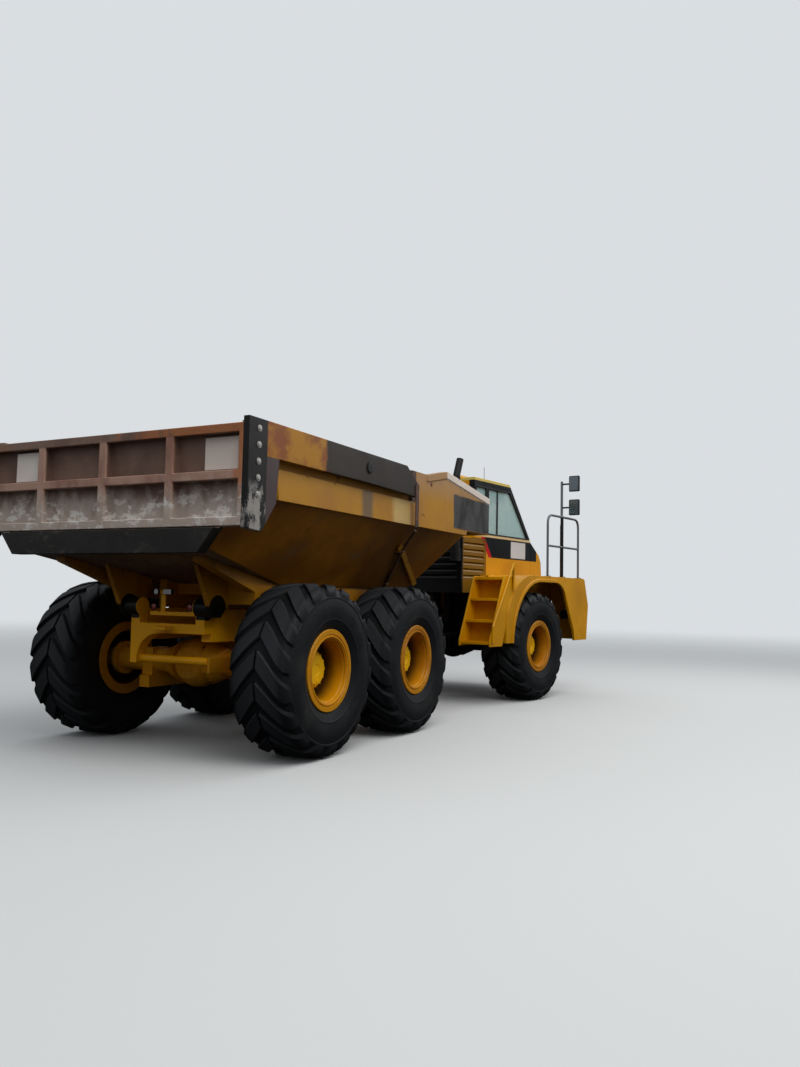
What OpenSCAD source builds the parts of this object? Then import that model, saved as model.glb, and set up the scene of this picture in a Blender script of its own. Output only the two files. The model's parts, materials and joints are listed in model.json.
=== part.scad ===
// Articulated dump truck with six wheels, standing with the tractor turned a little to the right.
// X runs forward along the rear frame, Y to the left, Z up from the ground.

/* [Layout] */
// Rear axle to middle axle
bogie_gap = 1966; // [1900:1:2050]
// Middle axle to front axle
front_gap = 4420; // [4380:1:4600]
// Front axle ahead of the hitch pin
hitch_ahead = 1270; // [1240:1:1300]
// Turn of the tractor to the right, in degrees
steer_rest = 8.9; // [0:0.1:15]
// Height of the hitch above the ground
hitch_z = 1000; // [980:1:1020]
// Middle of the left tyre to middle of the right tyre
track = 2710; // [2690:1:2800]

/* [Wheels] */
// Height of an axle above the ground, which is the radius of a loaded tyre
tyre_r = 865; // [850:1:880]
// Width of a tyre
tyre_w = 690; // [660:1:700]
// Radius of the rim's flange
flange_r = 410; // [395:1:420]
// Radius of the bead seat on the rim
seat_r = 318; // [312:1:325]
// Number of lugs round a tyre
lug_n = 18; // [16:1:20]
// Depth of the grooves between the lugs
lug_depth = 36; // [25:1:45]
// Width of the rim over its flanges
rim_w = 600; // [580:1:610]
// Thickness of a rim flange
flange_t = 20; // [14:1:26]
// Thickness of the rim's barrel
barrel_t = 22; // [16:1:28]
// Radius of the planetary hub
hub_r = 195; // [180:1:205]
// Radius of the spindle that a wheel turns on
spindle_r = 100; // [90:1:110]

/* [Bed] */
// Half width of the flat floor
floor_half = 980; // [960:1:985]
// Height of the floor's underside
floor_z = 1712; // [1708:1:1725]
// Half width over the side rails
rail_half = 1640; // [1630:1:1642]
// How far the side rails stand out from the wall
rail_out = 40; // [36:1:50]
// Height where the sloped side meets the rail
rail_z = 2465; // [2440:1:2480]
// Height of the lower side rail
rail_h = 285; // [260:1:300]
// Height of the side's top edge
bed_top = 3130; // [3100:1:3145]
// Thickness of the upper side wall
side_t = 60; // [45:1:75]
// Thickness of the bed plates
plate_t = 20; // [14:1:26]
// Start of the rising chute ahead of the rear axle
chute_start = 50; // [0:1:100]
// Rear end of the bed floor behind the rear axle
chute_back = 1385; // [1350:1:1388]
// Rise of the chute at its rear end
chute_rise = 290; // [250:1:310]
// Front wall of the bed ahead of the rear axle
bed_front = 4300; // [4250:1:4310]
// Length of the strengthened front panel of the side
front_panel = 2420; // [2380:1:2440]

/* [Tailgate] */
// Height of the tailgate's lower edge
gate_bottom = 2190; // [2185:1:2210]
// Height of the tailgate's upper edge
gate_top = 3085; // [3060:1:3100]
// Thickness of the tailgate frame
gate_t = 110; // [90:1:120]
// Thickness of the tailgate sheet
sheet_t = 24; // [16:1:30]
// Thickness of a tailgate arm
arm_t = 65; // [50:1:75]
// Pivot of the tailgate arms ahead of the rear axle
arm_x = 610; // [590:1:630]
// Height of the tailgate arms' pivot
arm_z = 2985; // [2975:1:2990]

/* [Frame] */
// Body hinge behind the rear axle
tip_back = 500; // [480:1:510]
// Height of the body hinge
tip_z = 1460; // [1455:1:1480]
// Radius of the body hinge pin
tip_r = 45; // [40:1:50]
// Distance from the middle plane to a frame rail's outer face
rail_y = 490; // [470:1:495]
// Width of a frame rail
rail_w = 130; // [110:1:140]
// Underside of the frame rails
rail_low = 1110; // [1100:1:1130]
// Top of the frame rails
rail_high = 1440; // [1430:1:1445]
// Outer radius of the hitch sleeve
sleeve_r = 165; // [160:1:170]
// Radius of the shaft that the hitch rolls on
roll_r = 130; // [120:1:135]
// Radius of the steering pin
pin_r = 60; // [50:1:70]

/* [Tractor] */
// Half width of the cab
cab_half = 800; // [790:1:810]
// Height of the deck beside the cab
deck_z = 2000; // [1990:1:2020]
// Height of the cab roof
roof_z = 3600; // [3580:1:3620]
// Height of the cab's belt line
belt_z = 2660; // [2640:1:2680]
// Half width over the fenders
fender_half = 1680; // [1670:1:1690]
// Inner edge of the wheel arches from the middle plane
arch_in = 960; // [950:1:975]
// Thickness of the fender shell
fender_t = 30; // [20:1:35]
// Thickness of the cab walls
cab_t = 50; // [40:1:60]
// Foremost point of the nose ahead of the hitch pin
nose_x = 3160; // [3140:1:3180]

/* [Cylinders] */
// Hoist barrel pivot ahead of the rear axle
hoist_x = 3000; // [2960:1:3040]
// Height of the hoist barrel pivot
hoist_z = 850; // [840:1:860]
// Hoist rod pivot ahead of the rear axle
lift_x = 950; // [930:1:970]
// Height of the hoist rod pivot
lift_z = 1590; // [1580:1:1600]
// Middle plane to the hoist cylinders
hoist_y = 720; // [710:1:725]
// Radius of a hoist barrel
hoist_r = 80; // [70:1:84]
// Steering barrel pivot ahead of the hitch pin
steer_x = 900; // [880:1:920]
// Middle plane to a steering barrel pivot
steer_y = 350; // [330:1:360]
// Distance of a steering rod's eye from the hitch pin
ear_r = 400; // [380:1:410]
// Angle of a steering rod's eye from the rear
ear_angle = 56; // [52:1:60]

/* [Clearances] */
// Radial play of a pin in its bore
pin_play = 0.5; // [0.2:0.1:1]
// Gap between pieces that pass each other
pass_gap = 6; // [5:0.5:8]
// Gap under what rests on a pad
rest_gap = 0.3; // [0.1:0.1:0.5]

/* [Hidden] */
$fn = 48;

front_x = bogie_gap + front_gap;
hitch_x = front_x - hitch_ahead;
strap_t = 12;
strap_x = 1760;
strap_z = [2440, 2950];
beam_front = 2280;
beam_low = floor_z - 165;
mirror_x = 2600;
mirror_out = fender_half + 60;
hub_in = 235;
hub_face = 120;
sleeve_back = 756;
sleeve_front = 276;
wall_half = rail_half - rail_out;
wall_slope = (rail_z - floor_z) / (wall_half - floor_half);
// Height of the chute's underside at a place behind its start
function chute_z(x) = floor_z + chute_rise * (chute_start - x) / (chute_start + chute_back);
// Top of what seats under the chute
function chute_seat(x) = chute_z(x) - rest_gap;
// Half width of the sloped wall's outside at a height
function wall_y(z) = floor_half + (z - floor_z) / wall_slope;
gate_gap = 11;
gate_x = -chute_back - gate_gap - gate_t;
arm_in = rail_half + 8;
bay_n = 4;
tow_r = 30;
lift_len = norm([hoist_x - lift_x, lift_z - hoist_z]);
lift_angle = atan2(lift_z - hoist_z, hoist_x - lift_x);
// The ground point below the middle of the whole machine as it stands
origin_x = (hitch_x + nose_x * cos(steer_rest) + fender_half * sin(steer_rest) + gate_x) / 2;
origin_y = (arm_in + arm_t + strap_t - mirror_x * sin(steer_rest) - mirror_out * cos(steer_rest)) / 2;

// Places and helpers
module rear() { translate([-origin_x, -origin_y, 0]) children(); }
module front() {
  translate([hitch_x - origin_x, -origin_y, 0]) rotate([0, 0, -steer_rest]) children();
}
module both() {
  children();
  mirror([0, 1, 0]) children();
}
module box(x0, x1, y0, y1, z0, z1) { translate([x0, y0, z0]) cube([x1 - x0, y1 - y0, z1 - z0]); }
module rod_x(r, x0, x1) { translate([x0, 0, 0]) rotate([0, 90, 0]) cylinder(r = r, h = x1 - x0); }
module rod_y(r, y0, y1) { translate([0, y1, 0]) rotate([90, 0, 0]) cylinder(r = r, h = y1 - y0); }
// A plate whose outline is given in X and Z, between two values of Y
module side_plate(points, y0, y1) {
  translate([0, y1, 0]) rotate([90, 0, 0]) linear_extrude(y1 - y0) polygon(points);
}
// A plate whose outline is given in Y and Z, between two values of X
module cross_plate(points, x0, x1) {
  translate([x0, 0, 0]) rotate([90, 0, 90]) linear_extrude(x1 - x0) polygon(points);
}
// Points on an ellipse about a centre, from one angle to another
function arc(c, a, b, from, to, n = 8) =
  [for (i = [0:n]) let (t = from + (to - from) * i / n) [c.x + a * cos(t), c.y + b * sin(t)]];
// A round bar from one point to another
module bar(a, b, r) {
  d = b - a;
  translate(a) rotate([0, acos(d.z / norm(d)), atan2(d.y, d.x)]) cylinder(r = r, h = norm(d));
}

// Wheels: the axis is Y and the outer side faces +Y
// A ring of points for each row of the section. Each lug has two high points and each groove one low point.
lug_span = 14 / 20;
module tyre_shape() {
  pitch = 360 / lug_n;
  n = 3 * lug_n;
  crest = tyre_r / cos(lug_span * pitch / 2);
  snug = 1 / cos(lug_span * pitch / 2);
  // Radius, half width, drop in the grooves and turn of the row
  half = [[(seat_r + rest_gap) * snug, rim_w / 2 - flange_t - rest_gap, 0, 0],
    [(flange_r + rest_gap) * snug, rim_w / 2 - flange_t - rest_gap, 0, 0],
    [610, tyre_w / 2, 0, 0], [crest - 12, tyre_w / 2 - 66, lug_depth, -pitch], [crest, 0, lug_depth / 2, 0]];
  rows = concat(half, [for (i = [3:-1:0]) [half[i][0], -half[i][1], half[i][2], half[i][3]]]);
  turns = [for (k = [0:n - 1]) floor(k / 3) * pitch + [-lug_span / 2, lug_span / 2, 0.5][k % 3] * pitch];
  points = [for (row = rows, k = [0:n - 1])
    let (r = row[0] - (k % 3 == 2 ? row[2] : 0), a = turns[k] + row[3] + 180)
    [r * sin(a), row[1], r * cos(a)]];
  m = len(rows);
  faces = [for (j = [0:m - 1], k = [0:n - 1])
    let (a = j * n + k, b = j * n + (k + 1) % n, c = (j + 1) % m * n + (k + 1) % n, d = (j + 1) % m * n + k)
    each [[a, b, c], [a, c, d]]];
  polyhedron(points, faces);
}
disc_y = 30;
bolt_ring = [12, 240, 13];
module rim_shape() {
  edge = rim_w / 2;
  difference() {
    union() {
      rotate([90, 0, 0]) rotate_extrude() {
        // Barrel with its two flanges, the outer one a loose ring with a groove
        polygon([[seat_r - barrel_t, -edge], [flange_r - 8, -edge], [flange_r, -edge + 8],
          [flange_r, -edge + flange_t], [seat_r, -edge + flange_t], [seat_r, edge - flange_t],
          [flange_r, edge - flange_t], [flange_r, edge - 8], [flange_r - 8, edge],
          [seat_r + 22, edge], [seat_r + 16, edge - 9], [seat_r + 8, edge], [seat_r - barrel_t, edge - 4]]);
        polygon([[hub_r - 5, disc_y - 35], [hub_r - 5, disc_y + 10], [seat_r - barrel_t + 5, disc_y - 10],
          [seat_r - barrel_t + 5, disc_y - 45]]);
      }
      // Planetary hub with its cover
      rotate([-90, 0, 0]) translate([0, 0, -hub_in + 1]) cylinder(r = hub_r, h = hub_in + hub_face - 21);
      rotate([-90, 0, 0]) translate([0, 0, hub_face - 21]) cylinder(r1 = hub_r, r2 = hub_r - 18, h = 20);
      rod_y(hub_r - 45, hub_face - 2, hub_face + 22);
      for (i = [0:bolt_ring[0] - 1]) rotate([0, i * 360 / bolt_ring[0], 0])
        translate([bolt_ring[1], 0, 0]) rod_y(bolt_ring[2], disc_y - 20, disc_y + 32);
    }
    rod_y(spindle_r + pin_play, -hub_in, -30);
  }
}
module wheel_at(x, side) {
  translate([x, side * track / 2, tyre_r]) mirror([0, side < 0 ? 1 : 0, 0]) children();
}
module tyre(x, side) { color([0.09, 0.10, 0.11]) wheel_at(x, side) tyre_shape(); }
module rim(x, side) { color([0.85, 0.60, 0.08]) wheel_at(x, side) rim_shape(); }

module tyre_front_left() { front() tyre(hitch_ahead, 1); }
module tyre_front_right() { front() tyre(hitch_ahead, -1); }
module tyre_middle_left() { rear() tyre(bogie_gap, 1); }
module tyre_middle_right() { rear() tyre(bogie_gap, -1); }
module tyre_rear_left() { rear() tyre(0, 1); }
module tyre_rear_right() { rear() tyre(0, -1); }
module rim_front_left() { front() rim(hitch_ahead, 1); }
module rim_front_right() { front() rim(hitch_ahead, -1); }
module rim_middle_left() { rear() rim(bogie_gap, 1); }
module rim_middle_right() { rear() rim(bogie_gap, -1); }
module rim_rear_left() { rear() rim(0, 1); }
module rim_rear_right() { rear() rim(0, -1); }

// Axles
saddle_y = [560, 700];
link_x = 455;
link_y = 500;
link_z = 915;
saddle_low = tyre_r - 165;
axle_back = 215;
axle_front = 420;
module axle_shape(saddles) {
  end = track / 2 - hub_in;
  translate([0, 0, tyre_r]) {
    intersection() {
      sphere(r = 265);
      rod_x(300, -axle_back, 240);
    }
    rod_x(215, -60, -20);
    rod_x(150, 200, 300);
    rod_x(95, 290, axle_front);
    both() {
      rod_y(130, 0, end);
      translate([0, 200, 0]) rotate([-90, 0, 0]) cylinder(r1 = 225, r2 = 150, h = 180);
      rod_y(185, end - 60, end - pass_gap + 1);
      rod_y(spindle_r, end - 10, track / 2 - 40);
    }
  }
  if (saddles) both() box(-130, 130, saddle_y[0], saddle_y[1], saddle_low, tyre_r + 135);
}
module middle_axle() { color([0.62, 0.44, 0.08]) rear() translate([bogie_gap, 0, 0]) axle_shape(true); }
module rear_axle() {
  color([0.62, 0.44, 0.08]) rear() {
    axle_shape(true);
    // Bracket that takes the lateral rod
    side_plate([[-link_x - 30, link_z - 110], [-link_x - 30, link_z + 45], [-link_x + 60, link_z + 45],
      [20, tyre_r + 90], [20, tyre_r - 90], [-link_x + 60, link_z - 110]], -link_y - 30, -link_y);
  }
}

trunnion_z = tyre_r - 60;
module bogie_beams() {
  mid = bogie_gap / 2;
  color([0.6, 0.43, 0.1]) rear() both() difference() {
    union() {
      side_plate([[-170, saddle_low - 130], [bogie_gap + 170, saddle_low - 130],
        [bogie_gap + 170, saddle_low], [bogie_gap - 280, saddle_low], [mid + 140, trunnion_z + 120],
        [mid - 140, trunnion_z + 120], [280, saddle_low], [-170, saddle_low]], saddle_y[0], saddle_y[1]);
    }
    translate([mid, 0, trunnion_z]) rod_y(90 + pin_play, saddle_y[0] - 1, saddle_y[1] + 1);
  }
}

module drive_shafts() {
  color([0.2, 0.2, 0.2]) rear() {
    translate([0, 0, tyre_r]) rod_x(45, axle_front, bogie_gap - axle_back - rest_gap);
    translate([0, 0, tyre_r]) rod_x(50, bogie_gap + axle_front, hoist_x + 560);
  }
}

// Rear frame
leg_x = [-tip_back - 40, -tip_back + 90];
leg_r = 270;
ear_y = [566, 620];
module rear_frame() {
  mid = bogie_gap / 2;
  neck_back = hoist_x + 500;
  color([0.80, 0.55, 0.07]) rear() difference() {
    union() {
      both() {
        box(-tip_back + 80, hoist_x + 200, rail_y - rail_w, rail_y, rail_low, rail_high);
        // Uprights at the rear end
        box(leg_x[0], leg_x[1], rail_y - 115, rail_y, rail_low + 80, rail_high + 30);
        // Hangers of the trunnion tube
        side_plate([[mid - 260, rail_low + 5], [mid - 110, trunnion_z - 120], [mid + 110, trunnion_z - 120],
          [mid + 260, rail_low + 5]], rail_y - rail_w, rail_y);
        // Brackets of the hoist barrels
        box(hoist_x - 120, hoist_x + 120, rail_y - 60, rail_y, hoist_z - 90, rail_low + 5);
        translate([hoist_x, 0, hoist_z]) {
          rod_y(40, rail_y - 30, hoist_y + 75);
          rod_y(60, hoist_y + 60 + pin_play, hoist_y + 75);
        }
        // Sides that draw in to the neck
        linear_extrude_at(rail_low, rail_high - 100) polygon([[hoist_x + 150, rail_y - rail_w],
          [hoist_x + 150, rail_y], [hoist_x + 250, rail_y], [neck_back + 300, sleeve_r],
          [neck_back + 300, 60]]);
        // Pads under the bed's beams
        for (x = [0, 1300, 2500]) box(x, x + 220, rail_y - 105, rail_y - 15, rail_high - 1, rail_high + 10);
      }
      // Cross beam, and the left leg with its round cut over the lateral rod
      box(leg_x[0], leg_x[1], -rail_y, rail_y, rail_low + 80, rail_low + 180);
      cross_plate(concat([[rail_y, rail_low + 81], [rail_y, link_z - 45], [leg_r + 130, link_z - 45]],
        arc([130, link_z - 5], leg_r, leg_r, 0, 90), [[130, rail_low + 81]]), leg_x[0], leg_x[1]);
      translate([-link_x, 0, link_z]) rod_y(42, rest_gap - link_y, leg_r + 131);
      box(hoist_x - 150, hoist_x + 160, -rail_y, rail_y, rail_low, rail_high - 10);
      box(mid - 90, mid + 90, -rail_y, rail_y, rail_low + 40, rail_high - 60);
      both() translate([mid, 0, trunnion_z]) rod_y(90, rail_y - rail_w, saddle_y[1] + 30);
      both() translate([-tip_back, 0, tip_z]) {
        rod_y(tip_r, rail_y - 115, ear_y[1] + 20);
        rod_y(tip_r + 50, rail_y - 115, ear_y[0] - pass_gap);
      }
      // Neck and hitch sleeve
      side_plate([[hoist_x + 300, rail_low], [hoist_x + 300, rail_high - 100],
        [neck_back + 250, rail_high - 100], [hitch_x - sleeve_back, hitch_z + sleeve_r],
        [hitch_x - sleeve_back + 60, hitch_z - sleeve_r],
        [neck_back + 250, hitch_z - sleeve_r], [hoist_x + 420, rail_low]], -sleeve_r, sleeve_r);
      translate([0, 0, hitch_z])
        rod_x(sleeve_r, hitch_x - sleeve_back - 10, hitch_x - sleeve_front - pass_gap);
      // Gearbox that carries the front end of the drive shaft
      box(hoist_x + 560, hoist_x + 760, -150, 150, tyre_r - 80, hitch_z);
      // Towing lug
      box(-tip_back - 150, -tip_back, -80, 80, rail_low + 110, rail_low + 150);
    }
    translate([0, 0, hitch_z]) rod_x(roll_r + pin_play, hitch_x - sleeve_back + 40, hitch_x);
    translate([-tip_back - 100, 0, rail_low]) cylinder(r = tow_r, h = 200);
  }
}
module linear_extrude_at(z0, z1) { translate([0, 0, z0]) linear_extrude(z1 - z0) children(); }

module tail_lamps() {
  shelf_z = rail_high - 40;
  work_z = 1615;
  // Place in Y and radius of the red lamps
  red = [[170, 38], [-310, 38]];
  color([0.6, 0.08, 0.06]) rear() {
    box(leg_x[0] - 20, leg_x[1] - 40, rest_gap + 115 - rail_y, 215, shelf_z, shelf_z + 12);
    for (lamp = red) translate([0, lamp[0], shelf_z + 20 + lamp[1]]) {
      rod_x(lamp[1], leg_x[0] - 25, leg_x[0] + 15);
      box(leg_x[0], leg_x[0] + 12, -20, 20, -lamp[1] - 10, 0);
    }
    // Bracket and the two work lamps
    box(leg_x[0] + 10, leg_x[0] + 20, 40, 100, shelf_z, work_z);
    for (y = [-5, 145]) translate([0, y, work_z]) rod_x(36, leg_x[0] - 25, leg_x[0] + 20);
    box(leg_x[0] + 8, leg_x[0] + 20, -5, 145, work_z - 15, work_z + 15);
  }
}

// Bed. The section in Y and Z is cut by the outline in X and Z.
inner_shift = plate_t * sqrt(1 + 1 / (wall_slope * wall_slope));
slope_x = [2950, 3500];
shelf_z = 2530;
peak = [2790, 3250];
crown_x = 2190;
front_top = 3060;
module bed_outline(drop, grow) {
  // drop lowers the floor line, grow lengthens the front
  side_plate([[-chute_back, floor_z + chute_rise - drop], [chute_start, floor_z - drop],
    [slope_x[0], floor_z - drop], [slope_x[1], shelf_z - drop], [bed_front + grow, shelf_z - drop],
    [bed_front + grow, front_top], peak, [crown_x, bed_top], [-chute_back, bed_top]], -2000, 2000);
}
slope_angle = atan2(rail_z - floor_z, wall_half - floor_half);
slope_len = norm([rail_z - floor_z, wall_half - floor_half]);
panel_x = bed_front + 10 - front_panel;
rib_out = 55;
rib_half = 35;
strap_r = 16;
// Ends of the rib across the slope: X and share of the slope's height
rib = [[1888, 0.69], [3166, 0.04]];
module bed_side() {
  top_edge = [[crown_x, bed_top], peak, [bed_front, front_top]];
  intersection() {
    bed_outline(0, 0);
    union() {
      // Sloped lower wall with the rib on its outside
      cross_plate([[floor_half, floor_z], [wall_half, rail_z], [wall_half - side_t, rail_z + 40],
        [wall_half - side_t, rail_z], [floor_half - inner_shift, floor_z]], -1500, bed_front + 10);
      translate([0, floor_half, floor_z]) rotate([slope_angle, 0, 0]) translate([0, 0, -rib_out])
        linear_extrude(rib_out + 5) polygon([for (end = [[0, -1], [0, 1], [1, 1], [1, -1]])
          [rib[end[0]][0], rib[end[0]][1] * slope_len + end[1] * rib_half]]);
      // Plain upper wall and the rail outside it
      box(-1500, panel_x + 1, wall_half - side_t, wall_half, rail_z, bed_top + 200);
      box(-950, panel_x + 1, wall_half - 1, rail_half, rail_z, rail_z + rail_h);
      // Posts at the rear end and behind the front panel
      box(-chute_back, -chute_back + 80, wall_half - 1, rail_half, rail_z, bed_top);
      box(panel_x - 100, panel_x - 10, wall_half - 1, rail_half, rail_z + rail_h - 1, bed_top);
      // Boss and pin that carry a tailgate arm
      translate([arm_x, 0, arm_z]) {
        rod_y(85, wall_half - 1, arm_in - pin_play);
        rod_y(35, wall_half - 1, arm_in + arm_t + 8);
      }
      // Front panel, flush with the rail, and its thick top edge
      box(panel_x, bed_front + 10, wall_half - side_t, rail_half, rail_z, bed_top + 200);
      side_plate(concat(top_edge, [for (i = [2:-1:0]) top_edge[i] - [0, 90]]),
        wall_half - side_t, rail_half + 12);
    }
  }
  // Guide and lower course of the bar that pulls the tailgate arm, with its lug at the box beam
  guide = [1970, wall_y(2170) + 60, 2170];
  foot = [2260, wall_y(1780) + 14, 1780];
  strap_end = [strap_x, arm_in + arm_t + strap_t / 2, strap_z[0] - 10];
  bar(guide + 0.9 * (strap_end - guide), guide, strap_r);
  bar(guide, foot, strap_r);
  bar(foot, [beam_front + 25, 945, beam_low + 118], strap_r);
  for (p = [guide, foot]) translate(p) sphere(r = strap_r + 5);
  box(guide.x - 45, guide.x + 45, guide.y - 90, guide.y, guide.z - 20, guide.z + 20);
  box(beam_front + rest_gap, beam_front + 50, 890, 965, beam_low - 10, floor_z - rest_gap);
}
module bed_side_left() { color([0.80, 0.56, 0.10]) rear() bed_side(); }
module bed_side_right() { color([0.80, 0.56, 0.10]) rear() mirror([0, 1, 0]) bed_side(); }

lip_z = [1960, gate_bottom - 10];
module bed_floor() {
  color([0.42, 0.34, 0.22]) rear() {
    intersection() {
      difference() {
        bed_outline(0, 0);
        translate([0, 0, plate_t]) bed_outline(0, 100);
      }
      cross_plate([[-floor_half + inner_shift, floor_z], [floor_half - inner_shift, floor_z],
        [wall_half - side_t, rail_z], [wall_half - side_t, bed_top], [-wall_half + side_t, bed_top],
        [-wall_half + side_t, rail_z]], -1500, bed_front);
    }
    // Lip beam under the tailgate
    lip = [[1, lip_z[0]], [1, lip_z[1]], [-1, lip_z[1]], [-1, lip_z[0]]];
    cross_plate([for (p = lip) [p[0] * wall_y(p[1]), p[1]]], gate_x, -chute_back);
    // Box of the front wall
    side_plate([[slope_x[1], shelf_z + plate_t], [bed_front, shelf_z + plate_t], [bed_front, front_top],
      [bed_front - 60, front_top]], -wall_half + side_t, wall_half - side_t);
  }
}

beam_tail = -1150;
beam_out = [830, 950];
module bed_underframe() {
  seat = rail_high + 10 + rest_gap;
  color([0.78, 0.54, 0.08]) rear() {
    both() {
      // Beams over the frame rails
      side_plate([[chute_start - 200, seat], [slope_x[0] - 60, seat], [slope_x[0] - 60, floor_z],
        [chute_start, floor_z], [chute_start - 200, chute_seat(chute_start - 200)]],
        rail_y - 110, rail_y - 10);
      // Outer box beams, whose tails follow the chute, and the arms behind the frame that carry them
      side_plate([[beam_front, beam_low], [beam_front, floor_z], [chute_start, floor_z],
        [beam_tail, chute_seat(beam_tail)], [beam_tail, chute_seat(beam_tail) - 50], [-250, beam_low + 53],
        [-150, beam_low]], beam_out[0], beam_out[1]);
      box(-330, -240, ear_y[0], beam_out[1], 1500, chute_seat(-240));
      // Hinge ears
      difference() {
        side_plate([[-tip_back - 110, tip_z - 20], [-tip_back - 60, tip_z - 95],
          [-tip_back + 60, tip_z - 95], [-tip_back + 330, floor_z - 20],
          [-tip_back + 330, chute_seat(330 - tip_back)],
          [-tip_back - 330, chute_seat(-330 - tip_back)]], ear_y[0], ear_y[1]);
        translate([-tip_back, 0, tip_z]) rod_y(tip_r + pin_play, 500, 700);
      }
      // Lugs for the hoist rods
      for (y = [hoist_y - 50 - pass_gap - 24, hoist_y + 50 + pass_gap])
        side_plate([[lift_x - 160, floor_z], [lift_x - 60, lift_z - 55], [lift_x + 60, lift_z - 55],
          [lift_x + 160, floor_z]], y, y + 24);
    }
    // Cross beams under the floor
    for (x = [chute_start, 600, 1700, 2500])
      box(x, x + 120, -rail_y + 110, rail_y - 110, floor_z - 120, floor_z);
  }
}

// Tailgate
module tailgate_panel() {
  half = arm_in;
  bay = 2 * half / bay_n;
  mid_z = 2640;
  post = 90;
  color([0.42, 0.26, 0.20]) rear() {
    box(gate_x + gate_t - sheet_t, gate_x + gate_t, -half, half, gate_bottom, gate_top);
    for (z = [gate_bottom, mid_z - 45, gate_top - 80])
      box(gate_x, gate_x + gate_t - sheet_t + 1, -half, half, z, z + 80);
    for (i = [0:bay_n])
      box(gate_x, gate_x + gate_t - sheet_t + 1, max(-half, -half + i * bay - post / 2),
        min(half, -half + i * bay + post / 2), gate_bottom, gate_top);
  }
}
module tailgate_arms() {
  color([0.30, 0.22, 0.17]) rear() both() difference() {
    union() {
      // Corner plate, beam and front tip
      side_plate([[gate_x, gate_bottom - 20], [-1290, gate_bottom - 40], [-1080, gate_bottom + 230],
        [-1050, 2820], [arm_x, 2820], [1800, 2800], [1800, 2960], [1500, 3140], [gate_x, 3140]],
        arm_in, arm_in + arm_t);
      translate([arm_x, 0, arm_z]) rod_y(85, arm_in, arm_in + arm_t);
    }
    translate([arm_x, 0, arm_z]) rod_y(35 + pin_play, arm_in - 1, arm_in + arm_t + 1);
  }
}
module gate_straps() {
  color([0.25, 0.2, 0.17]) rear() both() {
    y = arm_in + arm_t;
    box(strap_x - 40, strap_x + 40, y, y + strap_t, strap_z[0], strap_z[1]);
  }
}
sign = [370, 290];
module blank_signs() {
  // Start in Y of the right and the left sign
  starts = [88 - arm_in, arm_in * 2 / bay_n + 51];
  color([0.8, 0.78, 0.74]) rear() for (y = starts)
    box(gate_x + 60, gate_x + gate_t - sheet_t, y, y + sign[0], 2690, 2690 + sign[1]);
}

// Cylinders
module along_lift(side) {
  translate([hoist_x, side * hoist_y, hoist_z]) rotate([0, -(180 - lift_angle), 0]) children();
}
hoist_barrel_len = lift_len - 187;
module hoist_barrel(side) {
  color([0.80, 0.56, 0.08]) rear() along_lift(side) difference() {
    union() {
      rod_y(75, -60, 60);
      rod_x(hoist_r, 60, hoist_barrel_len);
      rod_x(hoist_r - 20, 0, 61);
    }
    rod_y(40 + pin_play, -61, 61);
    rod_x(55 + pin_play, 100, hoist_barrel_len + 1);
  }
}
module hoist_rod(side) {
  color([0.7, 0.7, 0.72]) rear() along_lift(side) difference() {
    union() {
      rod_x(55, 110, lift_len - 30);
      translate([lift_len, 0, 0]) rod_y(60, -50, 50);
    }
    translate([lift_len, 0, 0]) rod_y(30, -51, 51);
  }
}
module hoist_barrel_left() { hoist_barrel(1); }
module hoist_barrel_right() { hoist_barrel(-1); }
module hoist_rod_left() { hoist_rod(1); }
module hoist_rod_right() { hoist_rod(-1); }

// Steering cylinders run from the tractor's frame back to the yoke's ears
function ear_spot(side) = let (a = ear_angle - side * steer_rest) [-ear_r * cos(a), side * ear_r * sin(a)];
function steer_run(side) = ear_spot(side) - [steer_x, side * steer_y];
steer_barrel_len = 700;
steer_rod_len = 740;
module along_steer(side) {
  run = steer_run(side);
  translate([steer_x, side * steer_y, hitch_z]) rotate([0, 0, atan2(run.y, run.x)]) children();
}
module steer_barrel(side) {
  color([0.15, 0.15, 0.15]) front() along_steer(side) difference() {
    union() {
      translate([0, 0, -35]) cylinder(r = 48, h = 70);
      rod_x(30, 20, 76);
      rod_x(48, 75, steer_barrel_len);
    }
    translate([0, 0, -36]) cylinder(r = 24 + pin_play, h = 72);
    rod_x(25 + pin_play, 110, steer_barrel_len + 1);
  }
}
module steer_rod(side) {
  color([0.7, 0.7, 0.72]) front() along_steer(side) difference() {
    length = norm(steer_run(side));
    union() {
      rod_x(25, length - steer_rod_len, length - 30);
      translate([length, 0, -28]) cylinder(r = 45, h = 56);
    }
    translate([length, 0, -36]) cylinder(r = 22, h = 72);
  }
}
module steer_barrel_left() { steer_barrel(1); }
module steer_barrel_right() { steer_barrel(-1); }
module steer_rod_left() { steer_rod(1); }
module steer_rod_right() { steer_rod(-1); }

// Hitch: it turns about the steering pin and rolls in the rear frame's sleeve
module hitch_yoke() {
  color([0.2, 0.2, 0.2]) rear() translate([hitch_x, 0, hitch_z]) difference() {
    union() {
      translate([0, 0, -sleeve_r]) cylinder(r = 130, h = 2 * sleeve_r);
      box(-sleeve_front + 20, 0, -90, 90, -120, 120);
      rod_x(sleeve_r, -sleeve_front, -sleeve_front + 40);
      rod_x(roll_r, -sleeve_back + 50, -sleeve_front + 1);
      both() for (z = [-28 - pass_gap - 25, 28 + pass_gap])
        translate([0, 0, z]) linear_extrude(25) polygon([[-sleeve_front + 2, 60], [-sleeve_front + 2, 380],
          [-150, 400], [-150, 250], [-120, 60]]);
    }
    translate([0, 0, -sleeve_r - 1]) cylinder(r = pin_r + pin_play, h = 2 * sleeve_r + 2);
  }
}

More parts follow.
